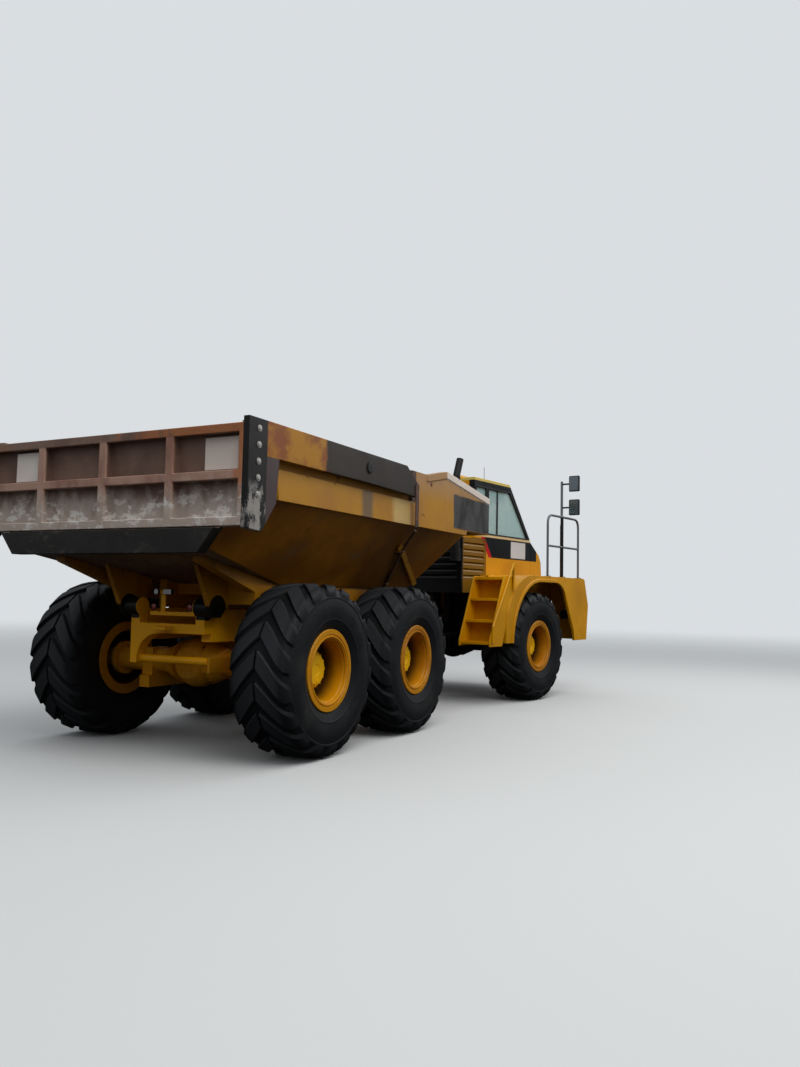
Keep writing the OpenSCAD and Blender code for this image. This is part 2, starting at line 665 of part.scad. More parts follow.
// Tractor frame
spine_half = 170;
cross_x = steer_x + 100;
beam_y = [400, 520];
beam_z = [1020, 1250];
cooling_low = beam_z[1] + 450;
module front_frame() {
  plate_z = sleeve_r + pin_play;
  color([0.22, 0.22, 0.22]) front() {
    translate([0, 0, hitch_z]) {
      for (z = [-plate_z - 50, plate_z]) difference() {
        union() {
          translate([0, 0, z]) cylinder(r = 150, h = 50);
          box(0, 420, -spine_half + 20, spine_half - 20, z, z + 50);
        }
      }
      translate([0, 0, -plate_z - 60]) cylinder(r = pin_r, h = 2 * plate_z + 120);
      box(360, cross_x + 20, -spine_half, spine_half, -plate_z - 50, plate_z + 50);
      // Lugs of the steering barrels
      both() for (z = [-35 - 25 - pin_play, 35 + pin_play])
        box(steer_x - 45, cross_x, steer_y - 45, steer_y + 45, z, z + 25);
      both() translate([steer_x, steer_y, -62]) cylinder(r = 24, h = 124);
    }
    box(cross_x, cross_x + 40, -beam_y[1], beam_y[1], hitch_z - 130, beam_z[1]);
    both() box(cross_x, 2900, beam_y[0], beam_y[1], beam_z[0], beam_z[1]);
    box(2800, 2900, -beam_y[1], beam_y[1], beam_z[0], beam_z[1]);
    // Posts and cross beams that carry the cab and deck
    for (x = [1100, 2420]) {
      both() box(x, x + 90, beam_y[0] + 10, beam_y[1] - 10, beam_z[1], deck_z - 120);
      box(x, x + 90, -arch_in, arch_in, deck_z - 120, deck_z - fender_t);
      both() box(x, x + 90, 420, 560, deck_z - fender_t - 1, deck_z);
    }
    // Posts on the spine that carry the cooling box
    for (x = [420, 860]) both()
      box(x, x + 100, 60, spine_half - 10, hitch_z + plate_z, cooling_low - rest_gap);
    // Strut towers over the front axle
    both() box(hitch_ahead - 90, hitch_ahead + 90, beam_y[1], beam_y[1] + 160, beam_z[1] - 60, beam_z[1]);
  }
}
module front_axle() {
  color([0.25, 0.25, 0.25]) front() {
    translate([hitch_ahead, 0, 0]) {
      axle_shape(false);
      both() translate([0, beam_y[1] + 85, 0]) {
        translate([0, 0, tyre_r + 100]) cylinder(r = 45, h = beam_z[1] - 60 - tyre_r - 100);
        translate([0, 0, tyre_r + 100]) cylinder(r = 62, h = 140);
      }
    }
  }
}
module engine_block() {
  seat = beam_z[1] + rest_gap;
  color([0.3, 0.3, 0.3]) front() {
    box(1620, 2700, -360, 360, seat, 1860);
    for (x = [1700, 2560]) box(x, x + 100, -beam_y[1] + 20, beam_y[1] - 20, seat, seat + 70);
  }
}

// Cab
cab_back = 600;
cab_step = 1000;
screen_top = 1780;
screen_foot = 2560;
module cab_outline(inset) {
  k = inset;
  side_plate([[cab_step + k, deck_z + k], [cab_step + k, belt_z - 60 + k], [cab_back + k, belt_z - 60 + k],
    [cab_back + k, roof_z - k], [screen_top - k / 2, roof_z - k], [screen_foot - k, belt_z + 10 - k / 2],
    [screen_foot - k, deck_z + k]], -cab_half + k, cab_half - k);
}
// Each window: rear bottom, front bottom, front top and rear top in X, low and high in Z
module side_window(x0, x1, x2) {
  side_plate([[x0, belt_z + 40], [x1, belt_z + 40], [x2, roof_z - 150], [x0, roof_z - 150]], 0, cab_half + 10);
}
door_x = [1040, 1900];
window_gap = [1960, 2480, 1845];
module cab_shell() {
  color([0.82, 0.58, 0.08]) front() door_hinges();
  color([0.82, 0.58, 0.08]) front() difference() {
    cab_outline(0);
    cab_outline(cab_t);
    // Side windows, the door opening, rear window and windscreen
    mirror([0, 1, 0]) side_window(660, 980, 980);
    mirror([0, 1, 0]) side_window(1060, 2440, 1780);
    side_window(660, 980, 980);
    side_window(window_gap[0], window_gap[1], window_gap[0] + 5);
    box(door_x[0], door_x[1], 0, cab_half + 10, deck_z + 30, roof_z - 110);
    box(cab_back - 10, cab_back + cab_t + 10, -cab_half + 120, cab_half - 120, belt_z + 60, roof_z - 150);
    translate([screen_foot, 0, belt_z + 10])
      rotate([0, -atan2(screen_foot - screen_top, roof_z - belt_z - 10), 0])
      box(-300, 60, -cab_half + 70, cab_half - 70, 70, 1080);
  }
}
glass_t = 8;
module cab_glass() {
  tilt = atan2(screen_foot - screen_top, roof_z - belt_z - 10);
  color([0.55, 0.7, 0.72]) front() {
    intersection() {
      difference() {
        cab_outline(cab_t / 2);
        cab_outline(cab_t / 2 + glass_t);
      }
      union() {
        mirror([0, 1, 0]) side_window(660, 980, 980);
        mirror([0, 1, 0]) side_window(1060, 2440, 1780);
        side_window(660, 980, 980);
        side_window(window_gap[0], window_gap[1], window_gap[0] + 5);
        box(cab_back - 10, cab_back + cab_t + 10, -cab_half + 120, cab_half - 120,
          belt_z + 60, roof_z - 150);
        translate([screen_foot, 0, belt_z + 10]) rotate([0, -tilt, 0])
          box(-300, 60, -cab_half + 70, cab_half - 70, 70, 1080);
      }
    }
  }
}
hinge = [door_x[0] - 12, cab_half + 20];
hinge_z = [2350, 3200];
module cab_door() {
  color([0.82, 0.58, 0.08]) front() difference() {
    union() {
      box(door_x[0] + 5, door_x[1] - 5, cab_half - cab_t, cab_half, deck_z + 35, roof_z - 115);
      for (z = hinge_z) {
        box(door_x[0] + 5, door_x[0] + 70, cab_half - 1, hinge[1] + 8, z - 20, z + 20);
        box(hinge[0], door_x[0] + 6, hinge[1] - 8, hinge[1] + 8, z - 20, z + 20);
        translate([hinge[0], hinge[1], z - 20]) cylinder(r = 13, h = 40);
      }
    }
    box(door_x[0] + 90, door_x[1] - 90, cab_half - cab_t - 1, cab_half + 1, belt_z + 40, roof_z - 190);
    for (z = hinge_z) translate([hinge[0], hinge[1], z - 21]) cylinder(r = 7 + pin_play, h = 42);
  }
}
hinge_leaf = cab_step + 1 - hinge[0];
module door_hinges() {
  for (z = hinge_z) translate([hinge[0], hinge[1], z - 45]) {
    cylinder(r = 7, h = 90);
    for (h = [0, 65.3]) translate([0, 0, h]) {
      cylinder(r = 13, h = 24.7);
      box(hinge_leaf, 0, -21, 12, 0, 24.7);
    }
  }
}
module door_glass() {
  color([0.55, 0.7, 0.72]) front() box(door_x[0] + 90, door_x[1] - 90,
    cab_half - 30, cab_half - 30 + glass_t, belt_z + 40, roof_z - 190);
}
module driver_seat() {
  floor_top = deck_z + cab_t;
  color([0.15, 0.15, 0.16]) front() {
    box(1240, 1560, -160, 160, floor_top, floor_top + 330);
    box(1180, 1680, -250, 250, floor_top + 330, floor_top + 450);
    box(1120, 1230, -240, 240, floor_top + 450, floor_top + 1050);
  }
}
module cab_controls() {
  floor_top = deck_z + cab_t;
  color([0.12, 0.12, 0.13]) front() {
    box(2200, 2505, -700, 700, floor_top, floor_top + 580);
    translate([2200, 0, floor_top + 560]) rotate([0, -30, 0]) {
      translate([0, 0, -60]) cylinder(r = 30, h = 220);
      translate([0, 0, 150]) difference() {
        cylinder(r = 210, h = 25);
        translate([0, 0, -1]) difference() {
          cylinder(r = 180, h = 27);
          for (a = [0, 120, 240]) rotate([0, 0, a]) box(0, 190, -18, 18, -1, 28);
        }
      }
    }
  }
}

// Hood and nose
hood_back = screen_foot + 10;
nose_top = deck_z + 12;
hood_low = nose_top + rest_gap;
hood_pin = [3045, nose_top + 45];
module hood() {
  color([0.84, 0.6, 0.08]) front() difference() {
    union() {
      side_plate([[hood_back, hood_low], [hood_back, belt_z - 20], [2900, 2420], [2980, 2300],
        [3010, hood_low]], -cab_half, cab_half);
      both() {
        box(2960, hood_pin[0], 500, 580, hood_pin[1] - 12, hood_pin[1] + 12);
        translate([hood_pin[0], 0, hood_pin[1]]) rod_y(22, 500, 580);
      }
    }
    side_plate([[hood_back - 1, hood_low - 1], [hood_back - 1, belt_z - 50], [2880, 2395], [2950, 2290],
      [2978, hood_low - 1]], -cab_half + 30, cab_half - 30);
    translate([hood_pin[0], 0, hood_pin[1]]) rod_y(10 + pin_play, -600, 600);
  }
}
module nose_panel() {
  color([0.84, 0.6, 0.08]) front() {
    difference() {
      // Nose block between the fenders
      side_plate([[2900, 1000], [2900, nose_top], [3040, nose_top], [3110, 1600], [3110, 1000]],
        -arch_in, arch_in);
      box(2960, 3200, -arch_in + 120, arch_in - 120, 1080, deck_z - 90);
    }
    // Hinge lugs and pins of the hood
    both() {
      for (y = [460, 590]) box(3018, hood_pin[0] + 25, y, y + 30, nose_top - 40, hood_pin[1] + 25);
      translate([hood_pin[0], 0, hood_pin[1]]) rod_y(10, 459, 621);
    }
    // Bumper beam and its towing lugs
    difference() {
      union() {
        box(2900, nose_x - 10, -arch_in, arch_in, 760, 1000);
        both() box(2750, 2900, beam_y[0], beam_y[1], 800, beam_z[0]);
        both() box(nose_x - 110, nose_x - 10, 300, 340, 660, 761);
      }
      translate([nose_x - 60, 0, 705]) rod_y(tow_r, -400, 400);
    }
  }
}
module nose_grille() {
  color([0.1, 0.1, 0.1]) front() {
    for (i = [0:8]) box(3000, 3040, -arch_in + 120, arch_in - 120, 1100 + i * 90, 1140 + i * 90);
    both() box(3040, 3060, 200, 240, 1080, deck_z - 90);
  }
}
module head_lamps() {
  color([0.85, 0.87, 0.88]) front() both() {
    for (y = lamp_y) translate([0, y, lamp_z]) rod_x(lamp_r, nose_x - 70, nose_x);
  }
}

// Fenders: outline of the shell from the rear foot over the wheel to the front foot
ha = hitch_ahead;
foot_z = [940, 920];
shell_r = 850;
// The wheel arch, from its front foot over the wheel to its rear foot, grown outwards for its lip
function arch(grow) = concat([[ha + 1290 + grow, foot_z[1]], [ha + 1250 + grow, 1080]],
  arc([ha + 560, 1480], 420 + grow, 420 + grow, 20, 90),
  arc([ha, tyre_r], 905 + grow, 1035 + grow, 90, 180 - asin((foot_z[0] - tyre_r) / (1035 + grow)), 12));
// The shell over it, drawn in by its thickness for the inside
function shell(t) = concat([[ha - 250 - shell_r + t, foot_z[0]]],
  arc([ha - 250, deck_z - shell_r], shell_r - t, shell_r - t, 180, 90),
  arc([nose_x - 230, deck_z - 100], 100 - t, 100 - t, 90, 30, 4),
  [[nose_x - t, 1530], [nose_x - 75 - t, foot_z[1]]]);
function back(points) = [for (i = [len(points) - 1:-1:0]) points[i]];
lamp_r = 85;
lamp_y = [fender_half - 460, fender_half - 250];
lamp_z = 1350;
panel_in = 20;
step_y = [fender_half - 560, fender_half - 60];
module fender() {
  skin = fender_half - panel_in;
  side_plate(concat(shell(0), arch(0)), skin - fender_t, skin);
  // Lip round the arch
  side_plate(concat(arch(45), back(arch(-1))), skin - 5, fender_half);
  difference() {
    side_plate(concat(shell(0), back(shell(fender_t))), arch_in, skin - fender_t + 1);
    for (y = lamp_y) translate([0, y, lamp_z]) rod_x(lamp_r + rest_gap, nose_x - 100, nose_x + 20);
  }
  // Deck between the cab and the arch
  box(800, 2880, cab_half + 12, arch_in + 1, deck_z - fender_t, deck_z);
  // Steps between two side plates, and their handrail
  for (i = [0:step_n - 1]) {
    x = step_start + i * step_run;
    z = 930 + i * step_rise;
    box(x, x + 330, step_y[0], step_y[1], z, z + 35);
    box(x + 300, x + 330, step_y[0], step_y[1], z, min(z + 35 + step_rise, deck_z - 60));
  }
  for (y = [step_y[0] - 25, step_y[1]])
    side_plate([[step_start - 20, 900], [60, 900], [440, 1900], [440, 1960], [110, 1960],
      [step_start - 20, 980]], y, y + 26);
  hand = [[step_start + 30, 1200], [360, hand_top]];
  y = step_y[1] + 44;
  for (p = hand) {
    foot = min(p.y, 2000) - 240;
    bar([p.x, y, foot], [p.x, y, p.y], rail_r);
    translate([p.x, y, foot + 30]) rod_y(12, -40, 0);
    translate([p.x, y, p.y]) sphere(r = rail_r + 2);
  }
  bar([hand[0].x, y, hand[0].y], [hand[1].x, y, hand[1].y], rail_r - 1);
}
step_n = 4;
step_start = -280;
step_run = 130;
step_rise = 325;
rail_r = 19;
hand_top = 2150;
module fender_left() { color([0.84, 0.6, 0.08]) front() fender(); }
module fender_right() { color([0.84, 0.6, 0.08]) front() mirror([0, 1, 0]) fender(); }

cooling_back = 230;
louvre = [6, 105];
module cooling_box() {
  color([0.75, 0.55, 0.2]) front() difference() {
    box(cooling_back, cab_step - 5, -cab_half, cab_half, cooling_low, belt_z - 66);
    // Slots between the slats at the sides and the back
    for (i = [0:louvre[0] - 1]) translate([0, 0, 1930 + i * louvre[1]]) {
      both() side_plate_slot();
      box(cooling_back - 1, cooling_back + 50, -cab_half + 100, cab_half - 100, 0, 55);
    }
  }
}
module side_plate_slot() { box(cooling_back + 60, cab_step - 75, cab_half - 40, cab_half + 1, 0, 55); }
module exhaust_stack() {
  tip_z = 3560;
  color([0.1, 0.1, 0.1]) front() {
    box(90, cooling_back - rest_gap, -790, -670, 2200, 2400);
    translate([150, -730, 2200]) {
      cylinder(r = 60, h = tip_z - 2190);
      cylinder(r = 76, h = 900);
    }
    translate([150, -730, tip_z]) rotate([0, 20, 0]) difference() {
      translate([0, 0, -15]) cylinder(r = 57, h = 315);
      translate([0, 0, 40]) cylinder(r = 50, h = 300);
    }
  }
}
hoop_r = 160;
module deck_rails() {
  top = 3040;
  y = fender_half - 80;
  span = [1650, 2850];
  color([0.08, 0.08, 0.08]) front() both() {
    bar([span[0], y, deck_z], [span[0], y, top - hoop_r], rail_r);
    translate([span[0] + hoop_r, y, top - hoop_r]) rotate([90, 0, 0]) mirror([1, 0, 0])
      rotate_extrude(angle = 90) translate([hoop_r, 0]) circle(r = rail_r);
    bar([span[0] + hoop_r, y, top], [span[1], y, top], rail_r);
    for (x = [2200, span[1]]) bar([x, y, deck_z], [x, y, top], rail_r);
    bar([span[0], y, 2520], [span[1], y, 2520], rail_r);
    translate([span[1], y, top]) sphere(r = rail_r);
  }
}
module mirrors() {
  color([0.06, 0.06, 0.07]) front() both() {
    post = fender_half - 280;
    bar([mirror_x, post, deck_z], [mirror_x, post, 3720], 24);
    for (z = [3110, 3530]) {
      bar([mirror_x, post, z + 140], [mirror_x, post + 160, z + 140], 16);
      box(mirror_x - 30, mirror_x + 30, post + 140, mirror_out, z, z + 280);
    }
  }
}

rear_frame();
middle_axle();
rear_axle();
bogie_beams();
drive_shafts();
tail_lamps();
bed_floor();
bed_side_left();
bed_side_right();
bed_underframe();
tailgate_panel();
tailgate_arms();
gate_straps();
blank_signs();
hoist_barrel_left();
hoist_barrel_right();
hoist_rod_left();
hoist_rod_right();
hitch_yoke();
front_frame();
front_axle();
engine_block();
cab_shell();
cab_glass();
cab_door();
door_glass();
driver_seat();
cab_controls();
hood();
nose_panel();
nose_grille();
head_lamps();
fender_left();
fender_right();
cooling_box();
exhaust_stack();
deck_rails();
mirrors();
steer_barrel_left();
steer_barrel_right();
steer_rod_left();
steer_rod_right();
tyre_front_left();
tyre_front_right();
tyre_middle_left();
tyre_middle_right();
tyre_rear_left();
tyre_rear_right();
rim_front_left();
rim_front_right();
rim_middle_left();
rim_middle_right();
rim_rear_left();
rim_rear_right();
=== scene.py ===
"""An articulated dump truck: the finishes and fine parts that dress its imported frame."""

import json
from math import atan2, cos, hypot, pi, radians, sin

import bmesh
import bpy
from mathutils import Matrix, Vector


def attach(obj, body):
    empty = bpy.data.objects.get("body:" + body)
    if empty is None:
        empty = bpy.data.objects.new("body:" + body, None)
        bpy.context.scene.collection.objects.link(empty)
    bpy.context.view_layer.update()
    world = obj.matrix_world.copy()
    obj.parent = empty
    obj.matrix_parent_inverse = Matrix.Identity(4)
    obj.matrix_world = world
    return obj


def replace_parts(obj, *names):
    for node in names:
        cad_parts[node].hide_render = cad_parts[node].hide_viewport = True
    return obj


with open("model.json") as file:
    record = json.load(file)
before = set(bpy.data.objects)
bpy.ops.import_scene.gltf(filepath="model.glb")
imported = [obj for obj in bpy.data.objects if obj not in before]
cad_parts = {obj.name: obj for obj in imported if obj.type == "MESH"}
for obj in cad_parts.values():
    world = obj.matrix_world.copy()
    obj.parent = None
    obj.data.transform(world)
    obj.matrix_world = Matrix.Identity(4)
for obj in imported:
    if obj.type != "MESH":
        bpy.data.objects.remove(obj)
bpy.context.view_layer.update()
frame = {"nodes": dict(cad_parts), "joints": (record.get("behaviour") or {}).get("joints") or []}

# Where the two halves stand. The rear half is measured from the ground below the middle of its rear axle, the
# tractor from the ground below the hitch pin. In both, x runs forward, y to the left and z up, in metres.
joints = {joint["name"]: joint for joint in frame["joints"]}
axle_left = Vector(joints["wheel_rear_left_roll"]["pos_m"])
axle_right = Vector(joints["wheel_rear_right_roll"]["pos_m"])
rear_origin = (axle_left + axle_right) / 2
rear_origin.z = 0
hitch_pin = Vector(joints["steer"]["pos_m"])
tractor_left = Vector(joints["hood_tilt"]["axis"]).normalized()
tractor_ahead = Vector((tractor_left.y, -tractor_left.x, 0))
rear_place = Matrix.Translation(rear_origin)
tractor_place = Matrix.Translation((hitch_pin.x, hitch_pin.y, 0)) @ Matrix.Rotation(
    atan2(tractor_ahead.y, tractor_ahead.x), 4, "Z")


# Rear frame
# A pair of rolled and welded steel rails with uprights, cross beams and the round neck of the hitch, painted
# with the same yellow enamel as the rest, which is scuffed, oily and splashed with mud here. Its yellow is
# set brighter than the other enamels, as painted light where the frame catches the light.
class Wire:
    """A value on its way through a material's nodes. Arithmetic on it adds Math nodes."""

    def __init__(self, graph, socket):
        self.graph = graph
        self.socket = socket

    def __add__(self, other):
        return self.graph.maths("ADD", self, other)

    def __sub__(self, other):
        return self.graph.maths("SUBTRACT", self, other)

    def __rsub__(self, other):
        return self.graph.maths("SUBTRACT", other, self)

    def __mul__(self, other):
        return self.graph.maths("MULTIPLY", self, other)

    __radd__ = __add__
    __rmul__ = __mul__


class Graph:
    """A node tree that is being put together. node() adds a node and returns one of its outputs."""

    def __init__(self, tree):
        self.tree = tree
        tree.nodes.clear()

    def node(self, kind, settings=None, sockets=None, output=0):
        made = self.tree.nodes.new(kind)
        for key, value in (settings or {}).items():
            setattr(made, key, value)
        for key, value in (sockets or {}).items():
            if isinstance(value, Wire):
                self.tree.links.new(value.socket, made.inputs[key])
            else:
                made.inputs[key].default_value = value
        return Wire(self, made.outputs[output])

    def maths(self, operation, *values):
        return self.node("ShaderNodeMath", {"operation": operation}, dict(enumerate(values)))


class Finish(Graph):
    """A material whose patterns lie on Object coordinates, in metres. Where it is given a place, they are
    measured from that half of the machine, so that a zone of paint lies where the real one has it."""

    slots = {}

    def __init__(self, name, slot, place=None):
        self.material = bpy.data.materials.new(name)
        self.material.use_nodes = True
        self.slots[name] = slot
        super().__init__(self.material.node_tree)
        self.place = self.node("ShaderNodeTexCoord", output="Object")
        if place:
            self.place = self.node("ShaderNodeMapping", {"vector_type": "TEXTURE"}, {
                "Vector": self.place, "Location": place.translation, "Rotation": place.to_euler()})

    def along(self, axis):
        return self.node("ShaderNodeSeparateXYZ", sockets={0: self.place}, output=axis)

    def cloud(self, size, detail=4.0, roughness=0.55, stretch=(1, 1, 1)):
        """Noise from 0 to 1 whose blotches are about size metres across, longer where stretch is under 1."""
        at = self.node("ShaderNodeMapping", sockets={"Vector": self.place, "Scale": stretch})
        return self.node("ShaderNodeTexNoise", sockets={
            "Vector": at, "Scale": 1 / size, "Detail": detail, "Roughness": roughness})

    def rise(self, value, low, high):
        """0 where the value is under low, 1 where it is over high, and a soft change between them. With low
        over high it falls instead."""
        return self.node("ShaderNodeMapRange", {"interpolation_type": "SMOOTHSTEP"}, {
            "Value": value, "From Min": low, "From Max": high})

    def within(self, value, low, high, soft=0.004):
        """1 where the value lies between low and high, 0 elsewhere."""
        return self.rise(value, low - soft, low + soft) * self.rise(value, high + soft, high - soft)

    def mix(self, share, first, second):
        return self.node("ShaderNodeMix", {"data_type": "RGBA"}, {0: share, 6: first, 7: second}, output=2)

    def bump(self, height, distance, strength=1.0):
        return self.node("ShaderNodeBump", sockets={
            "Height": height, "Distance": distance, "Strength": strength}, output="Normal")

    def surface(self, sockets):
        shader = self.node("ShaderNodeBsdfPrincipled", sockets=sockets)
        output = self.tree.nodes.new("ShaderNodeOutputMaterial")
        self.tree.links.new(shader.socket, output.inputs["Surface"])
        return self.material


def tint(red, green, blue):
    """A colour from the 0 to 255 numbers of a screen, as the renderer's linear values."""
    linear = [c / 255 / 12.92 if c < 11 else ((c / 255 + 0.055) / 1.055) ** 2.4 for c in (red, green, blue)]
    return (*linear, 1)


RUST = tint(92, 48, 26)
RUST_DARK = tint(52, 30, 22)
GREASE = tint(13, 10, 6)
CLAY = tint(116, 98, 74)


def old_enamel(name, slot, paint, faded, rust=0.5, grease=0.5, clay=0.4, gloss=0.42, place=None, zones=None):
    """Yellow machine enamel after years of work: faded in clouds, chipped to rust, greasy and dusted with
    clay. rust, grease and clay say how much of the surface each of them takes, from 0 to 1. zones is a
    function that paints parts of the surface in other colours before the dirt comes over it."""
    f = Finish(name, slot, place)
    broad = f.cloud(1.1, 3)
    fine = f.cloud(0.09, 8, 0.68)
    runs = f.cloud(0.10, 5, 0.6, (1, 1, 0.13))
    colour = f.mix(f.rise(broad, 0.38, 0.66), paint, faded)
    if zones:
        colour = zones(f, colour)
    greasy = f.rise(runs * 0.6 + broad * 0.4, 0.68 - 0.2 * grease, 0.84 - 0.2 * grease) * 0.75
    colour = f.mix(greasy, colour, GREASE)
    dusty = f.rise(f.cloud(0.5, 6, 0.6), 0.66 - 0.2 * clay, 0.9 - 0.2 * clay) * 0.6
    colour = f.mix(dusty, colour, CLAY)
    spots = f.cloud(0.30, 7, 0.7) * 0.55 + fine * 0.45
    rusty = f.rise(spots, 0.70 - 0.2 * rust, 0.74 - 0.2 * rust)
    colour = f.mix(rusty, colour, f.mix(f.rise(fine, 0.4, 0.6), RUST_DARK, RUST))
    height = fine * 0.25 + f.cloud(0.6, 2) * 2.0 - rusty * 0.35
    return f.surface({
        "Base Color": colour,
        "Roughness": rusty * 0.35 + dusty * 0.3 + greasy * 0.1 + gloss,
        "Specular IOR Level": 0.28,
        "Normal": f.bump(height, 0.012, 0.5),
    })


class Shape:
    """A mesh in the making, in metres. Its place is the matrix that takes it to the machine."""

    weld = 0.00002

    def __init__(self, place=None):
        self.bm = bmesh.new()
        self.place = place or Matrix()

    def ring(self, points):
        return [self.bm.verts.new(point) for point in points]

    def skin(self, rings, closed=False, around=True):
        """Faces between one ring of vertices and the next."""
        pairs = list(zip(rings, rings[1:] + rings[:1])) if closed else list(zip(rings, rings[1:]))
        for first, second in pairs:
            count = len(first)
            for k in range(count if around else count - 1):
                self.bm.faces.new((first[k], first[(k + 1) % count], second[(k + 1) % count], second[k]))

    def box(self, low, high):
        x0, y0, z0 = low
        x1, y1, z1 = high
        self.plate([(x0, z0), (x1, z0), (x1, z1), (x0, z1)], y0, y1)

    def plate(self, outline, low, high, turn=lambda along, side, up: (along, side, up)):
        """A flat plate. Its outline lies in x and z and its thickness along y, unless turn says otherwise."""
        rings = [self.ring([turn(a, side, b) for a, b in outline]) for side in (low, high)]
        self.skin(rings)
        for ring in rings:
            self.bm.faces.new(ring)

    def frame(self, outline, width, low, high):
        """A flat ring outside an outline in x and z, such as a window's seal, with its thickness along y."""
        outer = []
        for before, spot, after in zip(outline[-1:] + outline[:-1], outline, outline[1:] + outline[:1]):
            back = (Vector(spot) - Vector(before)).normalized()
            on = (Vector(after) - Vector(spot)).normalized()
            normal = Vector((back.y + on.y, -back.x - on.x)).normalized()
            outer.append(Vector(spot) + normal * width / max(normal.dot(Vector((on.y, -on.x))), 0.3))
        rings = [self.ring([(a, side, b) for a, b in points])
                 for points, side in ((outline, low), (outer, low), (outer, high), (outline, high))]
        self.skin(rings, closed=True)

    def bar(self, path, radius, sides=12, corner=0.0):
        """A round bar along a path of points, whose corners are bent to a radius."""
        spots = [Vector(path[0])]
        for before, spot, after in zip(path, path[1:], path[2:]):
            back = (Vector(before) - Vector(spot)).normalized()
            on = (Vector(after) - Vector(spot)).normalized()
            if corner:
                for k in range(6):
                    t = k / 5
                    spots.append(Vector(spot) + back * corner * (1 - t) ** 2 + on * corner * t ** 2)
            else:
                spots.append(Vector(spot))
        spots.append(Vector(path[-1]))
        rings = []
        across = None
        for k, spot in enumerate(spots):
            ahead = (spots[min(k + 1, len(spots) - 1)] - spots[max(k - 1, 0)]).normalized()
            across = across - ahead * across.dot(ahead) if across else ahead.orthogonal()
            across.normalize()
            over = ahead.cross(across)
            rings.append(self.ring([spot + (across * cos(a) + over * sin(a)) * radius
                                    for a in (2 * pi * side / sides for side in range(sides))]))
        self.skin(rings)
        self.bm.faces.new(rings[0])
        self.bm.faces.new(rings[-1])

    def lathe(self, profile, centre=(0, 0, 0), sides=64, closed=False):
        """A round body about the Y axis through centre, from pairs of radius and place along the axis."""
        middle = Vector(centre)
        rings = []
        for radius, along in profile:
            rings.append(self.ring([middle + Vector((radius * sin(a), along, radius * cos(a)))
                                    for a in (2 * pi * side / sides for side in range(sides))]))
        self.skin(rings, closed)
        if not closed:
            for ring in (rings[0], rings[-1]):
                self.bm.faces.new(ring)

    def finish(self, name, finish, body, edge=0.0, edge_over=0.03):
        """Rounds the long sharp edges, points the faces outwards and makes the mesh a piece that moves with a
        body.
        """
        bm = self.bm
        bmesh.ops.remove_doubles(bm, verts=bm.verts, dist=self.weld)
        bmesh.ops.recalc_face_normals(bm, faces=bm.faces)
        if edge:
            sharp = [e for e in bm.edges if e.is_manifold and e.calc_length() > edge_over
                     and e.calc_face_angle(0) > radians(30)]
            bmesh.ops.bevel(bm, geom=sharp, offset=edge, segments=2, profile=0.5, affect="EDGES",
                            clamp_overlap=False)
        bm.transform(self.place)
        bmesh.ops.recalc_face_normals(bm, faces=bm.faces)
        mesh = bpy.data.meshes.new(name)
        bm.to_mesh(mesh)
        bm.free()
        return as_piece(name, mesh, finish, body)


def as_piece(name, mesh, finish, body):
    """Makes a finished mesh into a piece that moves with a body."""
    for polygon in mesh.polygons:
        polygon.use_smooth = True
    mesh.set_sharp_from_angle(angle=radians(38))
    mesh.materials.clear()
    mesh.materials.append(finish)
    piece = bpy.data.objects.new(name, mesh)
    bpy.context.scene.collection.objects.link(piece)
    even = piece.modifiers.new("even_shading", "WEIGHTED_NORMAL")
    even.keep_sharp = True
    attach(piece, body)
    return piece


def dressed(node, body, finish, edge=0.005):
    """A copy of a CAD node with its long edges rounded, shown in the node's place."""
    source = frame["nodes"][node]
    shape = Shape()
    shape.bm.from_mesh(source.data)
    shape.bm.transform(source.matrix_world)
    bmesh.ops.remove_doubles(shape.bm, verts=shape.bm.verts, dist=shape.weld)
    bmesh.ops.dissolve_limit(shape.bm, angle_limit=radians(0.6), verts=shape.bm.verts, edges=shape.bm.edges)
    piece = shape.finish(f"{node}_dressed", finish, body, edge, edge_over=0.05)
    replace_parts(piece, node)
    return piece


def finish_nodes(finish, *nodes):
    for node in nodes:
        for place in frame["nodes"][node].material_slots:
            place.material = finish


TIP_SPOT = (-0.500, 1.460)


def hinge_zones(f, colour):
    """The hinges on which the bed tips are black with grease, out to the rim of their sleeves."""
    x, z = f.along("X") - TIP_SPOT[0], f.along("Z") - TIP_SPOT[1]
    outer = f.rise(f.maths("ABSOLUTE", f.along("Y")), 0.376, 0.384)
    sleeve = f.rise(x * x + z * z + f.cloud(0.05, 4) * 0.004, 0.0205, 0.0175)
    return f.mix(sleeve * outer, colour, tint(16, 14, 12))


# Painted light: this yellow is set brighter than the other enamels, for the light that falls on the frame.
lit_frame_enamel = old_enamel("lit frame enamel", "frame_yellow", tint(255, 178, 4), tint(236, 160, 8), rust=0.3,
                          grease=0.45, clay=0.2, place=rear_place, zones=hinge_zones)
dressed("rear_frame", "rear_chassis", lit_frame_enamel)


# Axles and bogie
# Cast axle housings with bowl-shaped differentials, held by the walking beams that rock on the frame's
# trunnions. The castings keep a coarse skin, and grease and road dirt cover most of the paint.
# Painted light: the castings' yellow is set brighter, like the frame's, for the light that falls on them.
lit_casting_enamel = old_enamel("lit casting enamel", "axle_yellow", tint(226, 152, 8), tint(184, 122, 14), rust=0.45,
                            grease=0.8, clay=0.3, gloss=0.55)
for node in ("middle_axle", "rear_axle", "bogie_beams"):
    dressed(node, "rear_chassis", lit_casting_enamel)


